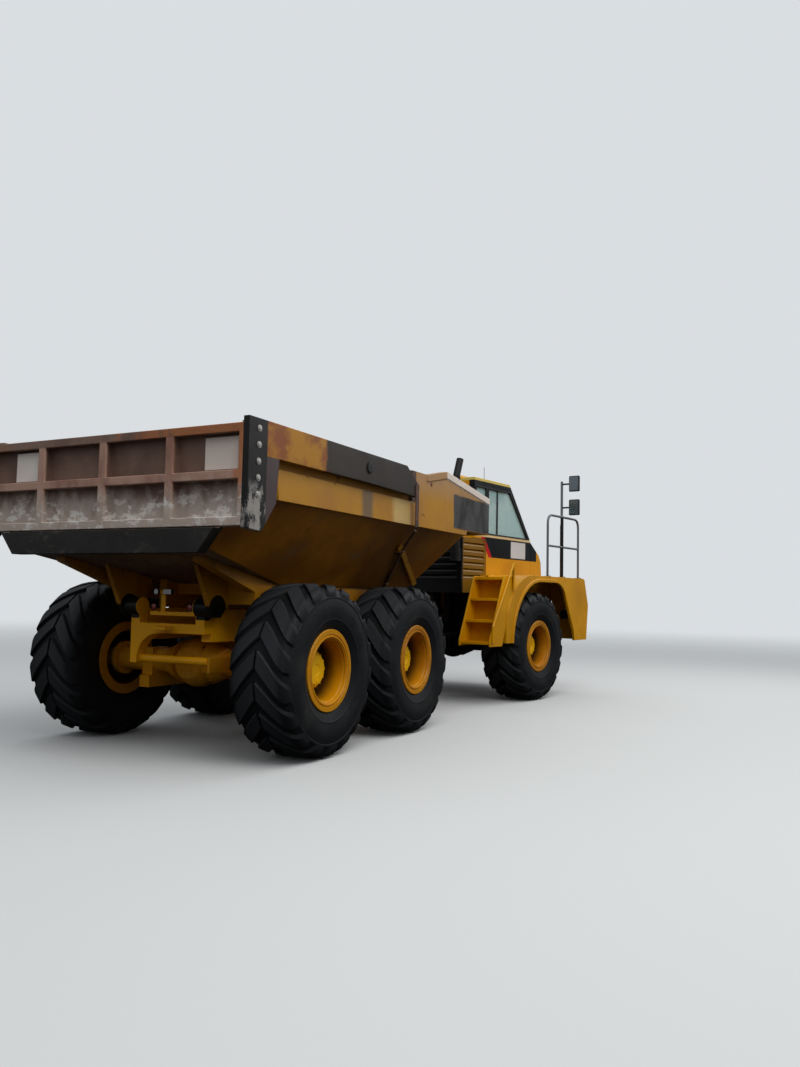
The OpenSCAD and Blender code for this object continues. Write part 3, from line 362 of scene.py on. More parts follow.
def bare_steel(name, slot, colour, roughness, metallic=1.0, stain=0.4):
    """Uncovered or blacked steel with oil stains and a fine grain."""
    f = Finish(name, slot)
    stained = f.rise(f.cloud(0.25, 6, 0.65), 0.7 - 0.25 * stain, 0.85 - 0.2 * stain)
    grain = f.cloud(0.02, 5)
    return f.surface({
        "Base Color": f.mix(stained * 0.7, colour, RUST_DARK),
        "Metallic": metallic * (1 - stained * 0.8),
        "Roughness": stained * 0.3 + grain * 0.15 + roughness,
        "Specular IOR Level": 0.3,
        "Normal": f.bump(grain, 0.002, 0.4),
    })


black_steel = bare_steel("black steel", "dark_steel", tint(26, 25, 24), 0.45, 0.2)
dressed("drive_shafts", "rear_chassis", black_steel)


# Tail lamps
# Two round red plastic lamps in black rings on a folded steel shelf between the uprights, and two white work
# lamps bolted to the bracket above it.
def lens(name, slot, colour, roughness=0.12):
    f = Finish(name, slot)
    wave = f.node("ShaderNodeTexWave", {"bands_direction": "Y"}, {"Vector": f.place, "Scale": 30.0})
    grime = f.rise(f.cloud(0.05, 5), 0.5, 0.8)
    return f.surface({
        "Base Color": f.mix(grime * 0.4, colour, CLAY),
        "Roughness": grime * 0.3 + roughness,
        "Coat Weight": 0.6,
        "Normal": f.bump(wave, 0.003, 0.4),
    })


red_lens = lens("red lens", "lamp_red", tint(158, 22, 18))
work_lens = lens("work lens", "lamp_clear", tint(226, 228, 226), 0.2)
clear_lens = lens("clear lens", "lamp_clear", tint(214, 220, 222), 0.08)

LAMP_X = -0.54
SHELF_Z = 1.400
SHELF_Y = (-0.374, 0.214)
WORK_Z = 1.615
WORK_ROUND_Y = 0.145
WORK_WIDE_Y = -0.005
RED_LAMPS = (("left", 0.170), ("right", -0.310))
# The radius at which a turned shape is closed near its axis
AXIS = 0.0001


def turned_piece(name, profile, at, finish, body, sides=32):
    """A round piece about the Y axis of its place."""
    shape = Shape(at)
    shape.lathe(profile, sides=sides)
    return shape.finish(name, finish, body)


def boxed_piece(name, boxes, at, finish, body, edge):
    """A piece put together from boxes, each of them given by two of its corners."""
    shape = Shape(at)
    for low, high in boxes:
        shape.box(low, high)
    return shape.finish(name, finish, body, edge)


# Shelf with a turned-down edge, the bracket on it and the bar of the work lamps
shape = Shape(rear_place)
shape.box((LAMP_X - 0.02, SHELF_Y[0], SHELF_Z), (LAMP_X + 0.09, SHELF_Y[1], SHELF_Z + 0.012))
shape.box((LAMP_X - 0.02, SHELF_Y[0], SHELF_Z - 0.028), (LAMP_X - 0.012, SHELF_Y[1], SHELF_Z + 0.002))
shape.box((LAMP_X + 0.01, 0.04, SHELF_Z + 0.01), (LAMP_X + 0.02, 0.10, WORK_Z))
shape.box((LAMP_X + 0.008, WORK_WIDE_Y, WORK_Z - 0.015), (LAMP_X + 0.02, WORK_ROUND_Y, WORK_Z + 0.015))
for side, y in RED_LAMPS:
    shape.box((LAMP_X, y - 0.02, SHELF_Z + 0.01), (LAMP_X + 0.012, y + 0.02, SHELF_Z + 0.03))
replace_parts(shape.finish("lamp_shelf", lit_frame_enamel, "rear_chassis", edge=0.002), "tail_lamps")


def facing_back(x, y, z):
    """The place of a lamp, whose Y axis looks out of its lens, when it faces backwards."""
    return rear_place @ Matrix.Translation((x, y, z)) @ Matrix.Rotation(pi / 2, 4, "Z")


for side, y in RED_LAMPS:
    at = facing_back(LAMP_X, y, SHELF_Z + 0.058)
    turned_piece(f"red_lamp_ring_{side}", (
        (AXIS, -0.012), (0.024, -0.012), (0.036, 0.0), (0.038, 0.02), (0.038, 0.0245), (0.032, 0.0245),
        (0.031, 0.018), (AXIS, 0.018)), at, black_steel, "rear_chassis")
    turned_piece(f"red_lamp_lens_{side}", ((0.031, 0.017), (0.030, 0.0205), (0.022, 0.0235), (AXIS, 0.0245)),
                 at, red_lens, "rear_chassis")
at = facing_back(LAMP_X, WORK_ROUND_Y, WORK_Z)
turned_piece("work_lamp_round", (
    (AXIS, -0.018), (0.020, -0.018), (0.034, -0.004), (0.036, 0.018), (0.036, 0.0245), (0.031, 0.0245),
    (0.030, 0.019), (AXIS, 0.019)), at, black_steel, "rear_chassis")
turned_piece("work_lens_round", ((0.030, 0.018), (0.028, 0.022), (AXIS, 0.0245)),
             at, work_lens, "rear_chassis")
at = facing_back(LAMP_X, WORK_WIDE_Y, WORK_Z)
boxed_piece("work_lamp_wide", [((-0.058, -0.018, -0.030), (0.058, 0.020, 0.030))],
            at, black_steel, "rear_chassis", edge=0.006)
boxed_piece("work_lens_wide", [((-0.052, 0.018, -0.025), (0.052, 0.0235, 0.025))],
            at, work_lens, "rear_chassis", edge=0.002)


# Bed sides, floor and underframe
# Welded wear-plate body. The sloped lower walls are painted dark, partly as mud and oil stain and partly as
# painted shade on their downward-facing slope; the rails and the front panel keep a tan yellow with a grey
# repair patch, and the floor is worn to bare brown steel.
FLOOR_HALF = 0.980
FLOOR_Z = 1.712
WALL_HALF = 1.600
RAIL_Z = 2.465
WALL_LEAN = (WALL_HALF - FLOOR_HALF) / (RAIL_Z - FLOOR_Z)
BED_REAR = -1.385
POST_X = (1.775, 1.885)
PATCH = ((3.02, 4.32), (2.535, 2.985))


def wall_y(z):
    """Half width of the sloped wall's outside at a height."""
    return (z - FLOOR_Z) * WALL_LEAN + FLOOR_HALF


def bed_zones(f, colour):
    x, z = f.along("X"), f.along("Z")
    side = f.maths("ABSOLUTE", f.along("Y"))
    ragged = f.cloud(0.22, 6, 0.65) * 0.16 - 0.08
    # Lower wall: painted shade on the downward-facing slope, mixed with mud and oil stain, and darker still
    # towards the front
    wall = f.rise(z, RAIL_Z + 0.004, RAIL_Z - 0.004) * f.rise(side - wall_y(z), 0.035, 0.02)
    stain = f.mix(f.rise(f.cloud(0.9, 4, 0.6), 0.35, 0.65), tint(166, 104, 2), tint(130, 76, 4))
    colour = f.mix(wall, colour, stain)
    colour = f.mix(wall * f.rise(x + ragged, 0.9, 1.9) * f.rise(x + ragged, 3.1, 2.2) * 0.55, colour, GREASE)
    # Rail: a grey smear, and pale scraped paint by the post
    rail = f.within(z, RAIL_Z, 2.76)
    colour = f.mix(rail * f.within(x + ragged, 0.60, 0.82, 0.05) * 0.75, colour, tint(92, 84, 78))
    colour = f.mix(rail * f.within(x + ragged, 1.30, 1.74, 0.08) * 0.6, colour, tint(226, 198, 132))
    # Front panel: grey along the top, the patch and the pale top edge
    panel = f.rise(x, POST_X[1] - 0.004, POST_X[1] + 0.004) * f.rise(z, RAIL_Z - 0.004, RAIL_Z + 0.004)
    colour = f.mix(panel * f.rise(z + ragged, 2.78, 3.08) * 0.55, colour, tint(172, 138, 104))
    patch = f.within(x + ragged * 0.4, *PATCH[0], 0.015) * f.within(z + ragged * 0.3, *PATCH[1], 0.015)
    scraped = f.rise(f.cloud(0.35, 6, 0.7, (1, 1, 0.5)), 0.4, 0.65)
    colour = f.mix(patch * panel, colour, f.mix(scraped, tint(34, 32, 32), tint(78, 76, 74)))
    top = panel * f.rise(z + (x - 2.79) * 0.1258, 3.145, 3.152) * f.rise(x, 2.75, 2.80)
    colour = f.mix(top, colour, tint(236, 220, 206))
    # Posts
    post = f.within(x, *POST_X) * f.rise(z, 2.74, 2.76)
    rear_post = f.rise(x, BED_REAR + 0.084, BED_REAR + 0.078) * f.rise(z, RAIL_Z, RAIL_Z + 0.01)
    colour = f.mix(post, colour, tint(78, 54, 42))
    colour = f.mix(rear_post, colour, tint(70, 58, 52))
    # The load has worn the inside bare
    inside = f.rise(side - f.maths("MINIMUM", wall_y(z), WALL_HALF), -0.010, -0.014)
    drag = f.cloud(0.08, 6, 0.65, (0.15, 1, 0.5))
    bare = f.mix(drag, tint(84, 62, 44), tint(136, 116, 92))
    colour = f.mix(inside * f.rise(ragged, 0.075, 0.02), colour, bare)
    # The lug at the front end of the box beam is scraped pale
    return f.mix(f.within(x, 2.27, 2.34) * f.rise(z, 1.735, 1.725) * 0.8, colour, tint(206, 196, 176))


bed_enamel = old_enamel("bed enamel", "bed_yellow", tint(190, 134, 28), tint(172, 116, 44), rust=0.5,
                        grease=0.3, clay=0.45, place=rear_place, zones=bed_zones)
for node in ("bed_side_left", "bed_side_right"):
    dressed(node, "bed", bed_enamel)
beam_enamel = old_enamel("beam enamel", "bed_yellow", tint(184, 122, 4), tint(140, 88, 8), rust=0.5,
                         grease=0.8, clay=0.3, place=rear_place, zones=hinge_zones)
dressed("bed_underframe", "bed", beam_enamel)


def worn_floor(name):
    f = Finish(name, "worn_steel", rear_place)
    x, z = f.along("X"), f.along("Z")
    drag = f.cloud(0.06, 6, 0.6, (0.08, 1, 1))
    patches = f.rise(f.cloud(0.45, 6, 0.6), 0.42, 0.6)
    colour = f.mix(drag, tint(96, 78, 62), tint(140, 122, 102))
    colour = f.mix(patches * 0.8, colour, tint(104, 66, 40))
    # The underside of the front slope and the lip beam are black
    under = f.rise(x * 0.83 - z * 0.558, 1.4855, 1.4915) * f.rise(z, 2.56, 2.545)
    lip = f.rise(x, BED_REAR + 0.003, BED_REAR - 0.003)
    scuffs = f.rise(f.cloud(0.2, 6, 0.7, (1, 0.5, 1)), 0.55, 0.75)
    black = f.mix(scuffs * 0.6, tint(34, 31, 28), tint(104, 96, 86))
    colour = f.mix(f.maths("MAXIMUM", under, lip), colour, black)
    return f.surface({
        "Base Color": colour,
        "Metallic": (1 - patches) * 0.3,
        "Roughness": patches * 0.3 + drag * 0.2 + 0.4,
        "Normal": f.bump(drag + patches * 0.5, 0.004, 0.6),
    })


dressed("bed_floor", "bed", worn_floor("worn floor"))


def rusty_bar(name):
    f = Finish(name, "dark_steel")
    flakes = f.cloud(0.05, 7, 0.7)
    return f.surface({
        "Base Color": f.mix(f.rise(flakes, 0.4, 0.62), tint(58, 44, 38), tint(104, 66, 44)),
        "Roughness": flakes * 0.3 + 0.5,
        "Normal": f.bump(flakes, 0.004, 0.7),
    })


dark_rust = rusty_bar("dark rust")
SIDES = (("left", 1), ("right", -1))


def mirrored(place, side):
    """The place of a piece that is drawn for the left side, on the side that is asked for."""
    return place @ Matrix.Diagonal((1, side, 1, 1))


# The bar that pulls the tailgate's arm, from its guide under the rail to the lug on the box beam
GUIDE = (1.970, wall_y(2.170) + 0.060, 2.170)
FOOT = (2.260, wall_y(1.780) + 0.014, 1.780)
LUG_END = (2.305, 0.945, 1.665)
STRAP_FOOT = (1.760, 1.719, 2.430)
PIN_HALF = Vector((0, 0.024, 0))
for name, side in SIDES:
    shape = Shape(mirrored(rear_place, side))
    shape.bar([Vector(GUIDE).lerp(Vector(STRAP_FOOT), 0.9), GUIDE, FOOT, LUG_END], 0.0175, 12)
    for spot in (GUIDE, FOOT):
        shape.bar([Vector(spot) - PIN_HALF, Vector(spot) + PIN_HALF], 0.026, 12)
    shape.finish(f"pull_bar_{name}", dark_rust, "bed")


# Tailgate
# Sheets in a frame of channels, all of it rusty brown under clay dust, with two blank white plates. The arms
# that carry it are dark, and the rear third of each keeps its yellow paint.
GATE_REAR = -1.506
GATE_TOP = 3.085
ARM_OUT = 1.713


def rusty_gate(name):
    f = Finish(name, "rusty_brown", rear_place)
    x, y, z = f.along("X"), f.along("Y"), f.along("Z")
    broad = f.cloud(0.7, 5, 0.6)
    smear = f.cloud(0.16, 7, 0.65, (1, 1, 0.6))
    fine = f.cloud(0.05, 6, 0.6)
    members = f.rise(x, GATE_REAR + 0.03, GATE_REAR + 0.02)
    low = f.rise(z, 2.80, 2.25)
    sheet = f.mix(f.rise(broad, 0.35, 0.65), tint(130, 100, 84), tint(106, 78, 64))
    channel = f.mix(f.rise(broad + smear * 0.3, 0.5, 0.75), tint(152, 108, 90), tint(186, 146, 126))
    colour = f.mix(members, sheet, channel)
    top = f.rise(z, GATE_TOP - 0.09, GATE_TOP - 0.07)
    colour = f.mix(top * 0.6, colour, tint(84, 70, 60))
    # Bare orange rust and old yellow paint along the top and the right-hand post
    edges = f.maths("MAXIMUM", top, f.rise(y, -1.545, -1.565)) * members
    orange = edges * f.rise(smear + f.rise(y, 0.5, -1.6) * 0.35 - low * 0.3, 0.56, 0.72)
    colour = f.mix(orange * 0.7, colour, tint(182, 106, 50))
    left = f.rise(f.cloud(0.3, 5, 0.6) * 0.8 + fine * 0.2, 0.66, 0.71) * (1 - low)
    colour = f.mix(left * 0.6, colour, tint(168, 104, 50))
    # Clay dust, thick at the foot, and pale splashes on the lower sheets
    dusty = f.rise(smear * 0.7 + low * 0.38, 0.44, 0.70)
    colour = f.mix(dusty * 0.8, colour, tint(192, 178, 166))
    splash = f.rise(f.cloud(0.17, 8, 0.72, (1, 1, 1.6)) + low * 0.06, 0.56, 0.64) * f.rise(z, 2.62, 2.36)
    colour = f.mix(splash * 0.85, colour, tint(226, 220, 212))
    return f.surface({
        "Base Color": colour,
        "Roughness": 0.62 + dusty * 0.25,
        "Normal": f.bump(broad + smear * 0.6 + fine * 0.3, 0.02, 0.5),
    })


dressed("tailgate_panel", "tailgate", rusty_gate("gate rust"), edge=0.008)


def arm_zones(f, colour):
    x, z = f.along("X"), f.along("Z")
    ragged = f.cloud(0.20, 6, 0.65) * 0.14 - 0.07
    third = f.rise(x + ragged, -0.22, -0.28) * f.rise(z, 2.80, 2.83)
    yellow = f.mix(f.rise(f.cloud(0.35, 5, 0.6), 0.42, 0.6), tint(178, 122, 20), tint(138, 76, 32))
    colour = f.mix(third, colour, yellow)
    # The gusset under the arm is purple brown and the corner plate black, with clay on its foot
    colour = f.mix(f.rise(z, 2.83, 2.81) * f.rise(x, -1.0, -1.04), colour, tint(76, 62, 62))
    plate = f.rise(x + ragged * 0.15, -1.235, -1.245)
    colour = f.mix(plate, colour, tint(26, 24, 24))
    smears = f.cloud(0.10, 6, 0.7, (1, 1, 0.5)) + f.within(x, -1.48, -1.34, 0.05) * 0.16
    clay = plate * f.rise(z + ragged * 2.5, 2.62, 2.45) * f.rise(smears, 0.52, 0.62)
    return f.mix(clay * 0.85, colour, tint(164, 158, 151))


arm_paint = old_enamel("arm paint", "rusty_brown", tint(46, 36, 28), tint(34, 26, 20), rust=0.4,
                       grease=0.25, clay=0.3, gloss=0.5, place=rear_place, zones=arm_zones)
dressed("tailgate_arms", "tailgate", arm_paint, edge=0.006)


def repeater():
    """A Geometry Nodes tree that sets copies of a shape in a row, round the Y axis, or both."""
    tree = bpy.data.node_groups.new("repeater", "GeometryNodeTree")
    kinds = {"Shape": "Geometry", "Count": "Int", "Step": "Vector", "Turn": "Float", "Finish": "Material"}
    for label, kind in kinds.items():
        tree.interface.new_socket(label, in_out="INPUT", socket_type=f"NodeSocket{kind}")
    tree.interface.new_socket("Copies", in_out="OUTPUT", socket_type="NodeSocketGeometry")
    g = Graph(tree)
    given = {label: g.node("NodeGroupInput", output=label) for label in kinds}
    number = g.node("GeometryNodeInputIndex")
    shifted = g.node("ShaderNodeVectorMath", {"operation": "SCALE"}, {0: given["Step"], "Scale": number})
    turned = g.node("ShaderNodeCombineXYZ", sockets={"Y": number * given["Turn"]})
    points = g.node("GeometryNodePoints", sockets={"Count": given["Count"], "Position": shifted})
    copies = g.node("GeometryNodeInstanceOnPoints", sockets={
        "Points": points, "Instance": given["Shape"], "Rotation": turned})
    real = g.node("GeometryNodeRealizeInstances", sockets={"Geometry": copies})
    painted = g.node("GeometryNodeSetMaterial", sockets={"Geometry": real, "Material": given["Finish"]})
    tree.links.new(painted.socket, tree.nodes.new("NodeGroupOutput").inputs["Copies"])
    return tree


REPEATER = repeater()


def repeated(shape, finish, count, step=(0, 0, 0), turn=0.0):
    """The plain mesh of count copies of a shape."""
    mesh = bpy.data.meshes.new("one_of_many")
    shape.bm.to_mesh(mesh)
    shape.bm.free()
    holder = bpy.data.objects.new("one_of_many", mesh)
    bpy.context.scene.collection.objects.link(holder)
    modifier = holder.modifiers.new("repeater", "NODES")
    modifier.node_group = REPEATER
    values = {"Count": count, "Step": step, "Turn": turn, "Finish": finish}
    for item in REPEATER.interface.items_tree:
        if item.in_out == "INPUT" and item.name in values:
            modifier[item.identifier] = values[item.name]
    graph = bpy.context.evaluated_depsgraph_get()
    made = bpy.data.meshes.new_from_object(holder.evaluated_get(graph), depsgraph=graph)
    holder.modifiers.clear()
    bpy.data.objects.remove(holder)
    return made


# Bolts down each corner plate, and the cap of the pin on which each arm turns
worn_bolts = bare_steel("worn bolts", "worn_steel", tint(186, 182, 176), 0.4, 0.5)
TOP_BOLT = (-1.36, ARM_OUT, 3.05)
BOLT_STEP = 0.145
BOLT_COUNT = 5
ARM_PIN = (0.61, 1.719, 2.985)
for name, side in SIDES:
    bolt = Shape()
    bolt.lathe(((AXIS, -0.001), (0.030, -0.001), (0.030, 0.004), (AXIS, 0.004)), TOP_BOLT, 20)
    bolt.lathe(((AXIS, 0.003), (0.021, 0.003), (0.022, 0.0095), (0.018, 0.0115), (AXIS, 0.0115)), TOP_BOLT, 6)
    shape = Shape(mirrored(rear_place, side))
    shape.bm.from_mesh(repeated(bolt, worn_bolts, BOLT_COUNT, step=(0, 0, -BOLT_STEP)))
    shape.finish(f"gate_bolts_{name}", worn_bolts, "tailgate")
    shape = Shape(mirrored(rear_place, side))
    shape.lathe(((AXIS, 0), (0.062, 0), (0.062, 0.003), (0.057, 0.0055), (0.014, 0.0055), (0.010, 0.0035),
                 (AXIS, 0.0035)), ARM_PIN, 32)
    shape.finish(f"arm_pin_cap_{name}", black_steel, "bed")
dressed("gate_straps", "tailgate", dark_rust, edge=0.002)

sign_plate = old_enamel("sign plate", "sign_white", tint(246, 236, 226), tint(228, 212, 200), rust=0.25,
                        grease=0.2, clay=0.45)
dressed("blank_signs", "tailgate", sign_plate, edge=0.002)


# Hoist cylinders, steering cylinders and hitch
# Turned steel barrels in yellow under the bed and in black beside the hitch, with chromed rods that end in
# welded eyes. The tractor's welded frame, its cast axle and the engine's block are black too.
finish_nodes(beam_enamel, "hoist_barrel_left", "hoist_barrel_right")
rod_chrome = bare_steel("rod chrome", "rod_chrome", tint(190, 192, 196), 0.12, 1.0, 0.1)
finish_nodes(rod_chrome, "hoist_rod_left", "hoist_rod_right", "steer_rod_left", "steer_rod_right")
finish_nodes(black_steel, "steer_barrel_left", "steer_barrel_right", "engine_block")
for node, body in (("hitch_yoke", "hitch"), ("front_frame", "tractor"), ("front_axle", "tractor")):
    dressed(node, body, black_steel)


# Cab, hood and cooling box
# Sheet steel in the best paint of the machine. The pillars are black, and so is the belt panel, which has a
# red stripe behind it and a blank white plate and runs on to the hood. The lining of the cab is dark.
CAB_HALF = 0.800
ROOF_Z = 3.600
WINDOW_Z = (2.700, 3.450)
BELT_Z = (2.300, 2.635, 2.685)
SCREEN_NORMAL = Vector((0.7660, 0, 0.6425))
SCREEN_SPOT = Vector((1.780, 0, ROOF_Z))
SLOT_Z = 1.930
SLOT_STEP = 0.105
SLOT_COUNT = 6


def cab_zones(f, colour):
    x, z = f.along("X"), f.along("Z")
    side = f.maths("ABSOLUTE", f.along("Y"))
    outer = f.rise(side, CAB_HALF - 0.016, CAB_HALF - 0.012) * f.rise(side, CAB_HALF + 0.03, CAB_HALF + 0.02)
    colour = f.mix(f.rise(z, ROOF_Z - 0.050, ROOF_Z - 0.045), colour, tint(222, 194, 96))
    black = tint(8, 9, 11)
    colour = f.mix(f.rise(side, 0.69, 0.70) * f.within(z, BELT_Z[2], ROOF_Z - 0.045) * f.rise(x, 3.0, 2.99),
                   colour, black)
    colour = f.mix(outer * f.within(z, BELT_Z[1], BELT_Z[2]), colour, tint(226, 200, 150))
    # The belt panel starts at a slanted edge behind the door
    slant = x + z * 0.72
    edge = 0.94 + BELT_Z[1] * 0.72
    belt = outer * f.within(z, BELT_Z[0], BELT_Z[1])
    colour = f.mix(belt * f.within(slant, edge - 0.115, edge, 0.003), colour, tint(190, 20, 24))
    colour = f.mix(belt * f.rise(slant, edge - 0.003, edge + 0.003) * f.rise(x, 2.803, 2.797), colour, black)
    colour = f.mix(belt * f.within(x, 1.84, 2.37) * f.within(z, 2.325, 2.61), colour, tint(214, 214, 214))
    # The back of the cooling box is black, and its sides are painted a darker brown yellow below the belt
    colour = f.mix(f.rise(x, 0.996, 0.990) * f.rise(z, 2.598, 2.592) * 0.8, colour, tint(94, 68, 4))
    colour = f.mix(f.rise(x, 0.275, 0.271), colour, black)
    # The inside
    depth = x * SCREEN_NORMAL.x + z * SCREEN_NORMAL.z - SCREEN_SPOT.dot(SCREEN_NORMAL)
    inside = f.rise(side, CAB_HALF - 0.026, CAB_HALF - 0.030) * f.rise(depth, -0.030, -0.036)
    inside = inside * f.within(x, 0.638, 2.512) * f.within(z, 2.042, 3.556)
    return f.mix(inside, colour, tint(50, 48, 46))


cab_enamel = old_enamel("cab enamel", "cab_yellow", tint(222, 155, 2), tint(204, 140, 4), rust=0.0,
                        grease=0.2, clay=0.15, gloss=0.32, place=tractor_place, zones=cab_zones)
for node in ("cab_shell", "cooling_box"):
    dressed(node, "tractor", cab_enamel)
dressed("cab_door", "door", cab_enamel)
dressed("hood", "hood", cab_enamel)
fender_enamel = old_enamel("fender enamel", "cab_yellow", tint(224, 157, 2), tint(200, 137, 4), rust=0.1,
                           grease=0.2, clay=0.2, gloss=0.32)
for node in ("nose_panel", "fender_left", "fender_right"):
    dressed(node, "tractor", fender_enamel)


def window_glass(name):
    f = Finish(name, "window_glass")
    dust = f.rise(f.cloud(0.5, 5, 0.6), 0.4, 0.8)
    return f.surface({
        "Base Color": f.mix(dust, tint(206, 242, 238), tint(222, 236, 230)),
        "Roughness": dust * 0.2 + 0.02,
        "Transmission Weight": 0.25,
        "IOR": 1.45,
        "Alpha": dust * 0.15 + 0.5,
    })


finish_nodes(window_glass("window glass"), "cab_glass", "door_glass")


def moulded(name, colour, grain, roughness):
    """Black plastic or rubber with a fine leathery grain, dusty in places."""
    f = Finish(name, "dark_plastic")
    skin = f.cloud(grain, 4, 0.6)
    dust = f.rise(f.cloud(0.3, 5, 0.6), 0.5, 0.8)
    return f.surface({
        "Base Color": f.mix(dust * 0.3, colour, CLAY),
        "Roughness": dust * 0.2 + roughness,
        "Normal": f.bump(skin, 0.002, 0.5),
    })


black_plastic = moulded("black plastic", tint(26, 26, 27), 0.004, 0.5)
seal_rubber = moulded("seal rubber", tint(20, 20, 20), 0.01, 0.6)
finish_nodes(black_plastic, "cab_controls", "nose_grille")


def window_outline(rear, low_front, top_front, top=WINDOW_Z[1]):
    return [(rear, WINDOW_Z[0]), (low_front, WINDOW_Z[0]), (top_front, top), (rear, top)]


# Rubber seals round the glass, and the bars of the sliding panes
for name, side, panes in (("right", -1, (window_outline(0.66, 0.98, 0.98), window_outline(1.06, 2.44, 1.78))),
                          ("left", 1, (window_outline(0.66, 0.98, 0.98), window_outline(1.96, 2.48, 1.965)))):
    shape = Shape(mirrored(tractor_place, side))
    for pane in panes:
        shape.frame(pane, 0.022, CAB_HALF - 0.030, CAB_HALF + 0.007)
    if side < 0:
        shape.box((1.365, CAB_HALF - 0.045, WINDOW_Z[0] - 0.005),
                  (1.393, CAB_HALF - 0.008, WINDOW_Z[1] + 0.005))
    shape.finish(f"window_seals_{name}", seal_rubber, "tractor", edge=0.003)
shape = Shape(tractor_place)
shape.frame(window_outline(1.13, 1.81, 1.81, 3.41), 0.022, CAB_HALF - 0.020, CAB_HALF + 0.007)
shape.finish("door_seal", seal_rubber, "door", edge=0.003)
# Door handle in its shallow dish
HANDLE_X = (1.715, 1.815)
HANDLE_Y = CAB_HALF + 0.034
HANDLE_Z = 2.590
shape = Shape(tractor_place)
shape.box((HANDLE_X[0] - 0.015, CAB_HALF - 0.002, HANDLE_Z - 0.03),
          (HANDLE_X[1] + 0.015, CAB_HALF + 0.006, HANDLE_Z + 0.03))
shape.bar([(HANDLE_X[0], CAB_HALF, HANDLE_Z), (HANDLE_X[0], HANDLE_Y, HANDLE_Z),
           (HANDLE_X[1], HANDLE_Y, HANDLE_Z), (HANDLE_X[1], CAB_HALF, HANDLE_Z)], 0.009, 10, 0.012)
shape.finish("door_handle", black_plastic, "door", edge=0.003)


def on_screen(along, side, off):
    """A point on the windscreen: along it downwards from its top edge, to the left, and off its face."""
    down = Vector((SCREEN_NORMAL.z, 0, -SCREEN_NORMAL.x))
    return SCREEN_SPOT + down * along + Vector((0, side, 0)) + SCREEN_NORMAL * off


# Windscreen wiper, parked upright, with its motor's cap at the foot
MOTOR = (1.135, -0.10)
shape = Shape(tractor_place)
shape.bar([on_screen(*MOTOR, 0.004), on_screen(*MOTOR, 0.030)], 0.022, 16)
shape.bar([on_screen(*MOTOR, 0.026), on_screen(0.62, -0.16, 0.012)], 0.007, 8)
shape.bar([on_screen(0.95, -0.165, 0.006), on_screen(0.32, -0.155, 0.006)], 0.008, 6)
shape.finish("wiper", black_plastic, "tractor")
# Sun visor across the top of the windscreen, and the console above the right window
shape = Shape(tractor_place)
shape.box((1.300, -0.730, 3.300), (1.700, -0.480, 3.545))
shape.plate([(1.62, 3.535), (1.74, 3.545), (1.86, 3.30), (1.84, 3.29)], -0.66, 0.66)
shape.finish("visor_and_console", black_plastic, "tractor", edge=0.01)

# Roof unit with its lid, and the thin radio aerial on a spring foot
boxed_piece("roof_unit", [
    ((0.74, -0.46, ROOF_Z - 0.002), (1.18, 0.46, ROOF_Z + 0.055)),
    ((0.79, -0.41, ROOF_Z + 0.050), (1.13, 0.41, ROOF_Z + 0.078))],
    tractor_place, fender_enamel, "tractor", edge=0.016)
shape = Shape(tractor_place)
shape.bar([(1.24, -0.60, ROOF_Z - 0.002), (1.24, -0.60, ROOF_Z + 0.045)], 0.016, 12)
shape.bar([(1.24, -0.60, ROOF_Z + 0.04), (1.19, -0.625, ROOF_Z + 0.245)], 0.004, 8)
shape.finish("aerial", black_plastic, "tractor")


# Louvres of the cooling box
# Pressed steel slats, one welded in each slot at the sides and the back, tilted so that rain runs off. Those
# at the sides are yellow, those at the back are black, and the dark core shows behind them.
def slat(x0, x1):
    """One louvre slat: a bent strip in the slot's mouth."""
    shape = Shape()
    section = ((0.799, 0.000), (0.793, 0.003), (0.764, 0.046), (0.764, 0.053), (0.769, 0.053), (0.796, 0.010),
               (0.803, 0.004))
    rings = [shape.ring([(x, y, SLOT_Z + z) for y, z in section]) for x in (x0, x1)]
    shape.skin(rings)
    for ring in rings:
        shape.bm.faces.new(ring)
    return shape


shape = Shape(tractor_place)
for side in (1, -1):
    row = repeated(slat(0.292, 0.923), cab_enamel, SLOT_COUNT, step=(0, 0, SLOT_STEP))
    row.transform(Matrix.Diagonal((1, side, 1, 1)))
    shape.bm.from_mesh(row)
shape.finish("louvre_slats_side", cab_enamel, "tractor")
shape = Shape(tractor_place)
row = repeated(slat(-0.698, 0.698), black_steel, SLOT_COUNT, step=(0, 0, SLOT_STEP))
# The back's slots lie at x 0.23, so the row is turned from the side and moved there
row.transform(Matrix.Translation((0.230 + 0.800, 0, 0)) @ Matrix.Rotation(pi / 2, 4, "Z"))
shape.bm.from_mesh(row)
shape.finish("louvre_slats_back", black_steel, "tractor")
# Dark radiator core behind the slats
CORE_X = (0.294, 0.921)
CORE_Z = (1.90, 2.53)
boxed_piece("radiator_core", [
    ((CORE_X[0], -0.7615, CORE_Z[0]), (CORE_X[1], -0.7595, CORE_Z[1])),
    ((CORE_X[0], 0.7595, CORE_Z[0]), (CORE_X[1], 0.7615, CORE_Z[1])),
    ((0.2785, -0.696, CORE_Z[0]), (0.2805, 0.696, CORE_Z[1]))],
    tractor_place, black_plastic, "tractor", edge=0.0)


# Radiator
# A black metal core whose fine upright fins are pressed on in one row. It is bolted in the nose, close behind
# the bars.
FIN_COUNT = 70
FIN_STEP = 0.024
fin = Shape()
fin.box((2.966, -0.838, 1.082), (2.972, -0.834, 1.908))
shape = Shape(tractor_place)
shape.bm.from_mesh(repeated(fin, black_steel, FIN_COUNT, step=(0, FIN_STEP, 0)))
shape.box((2.9602, -0.8395, 1.081), (2.967, 0.8395, 1.9095))
shape.finish("radiator", black_steel, "tractor")


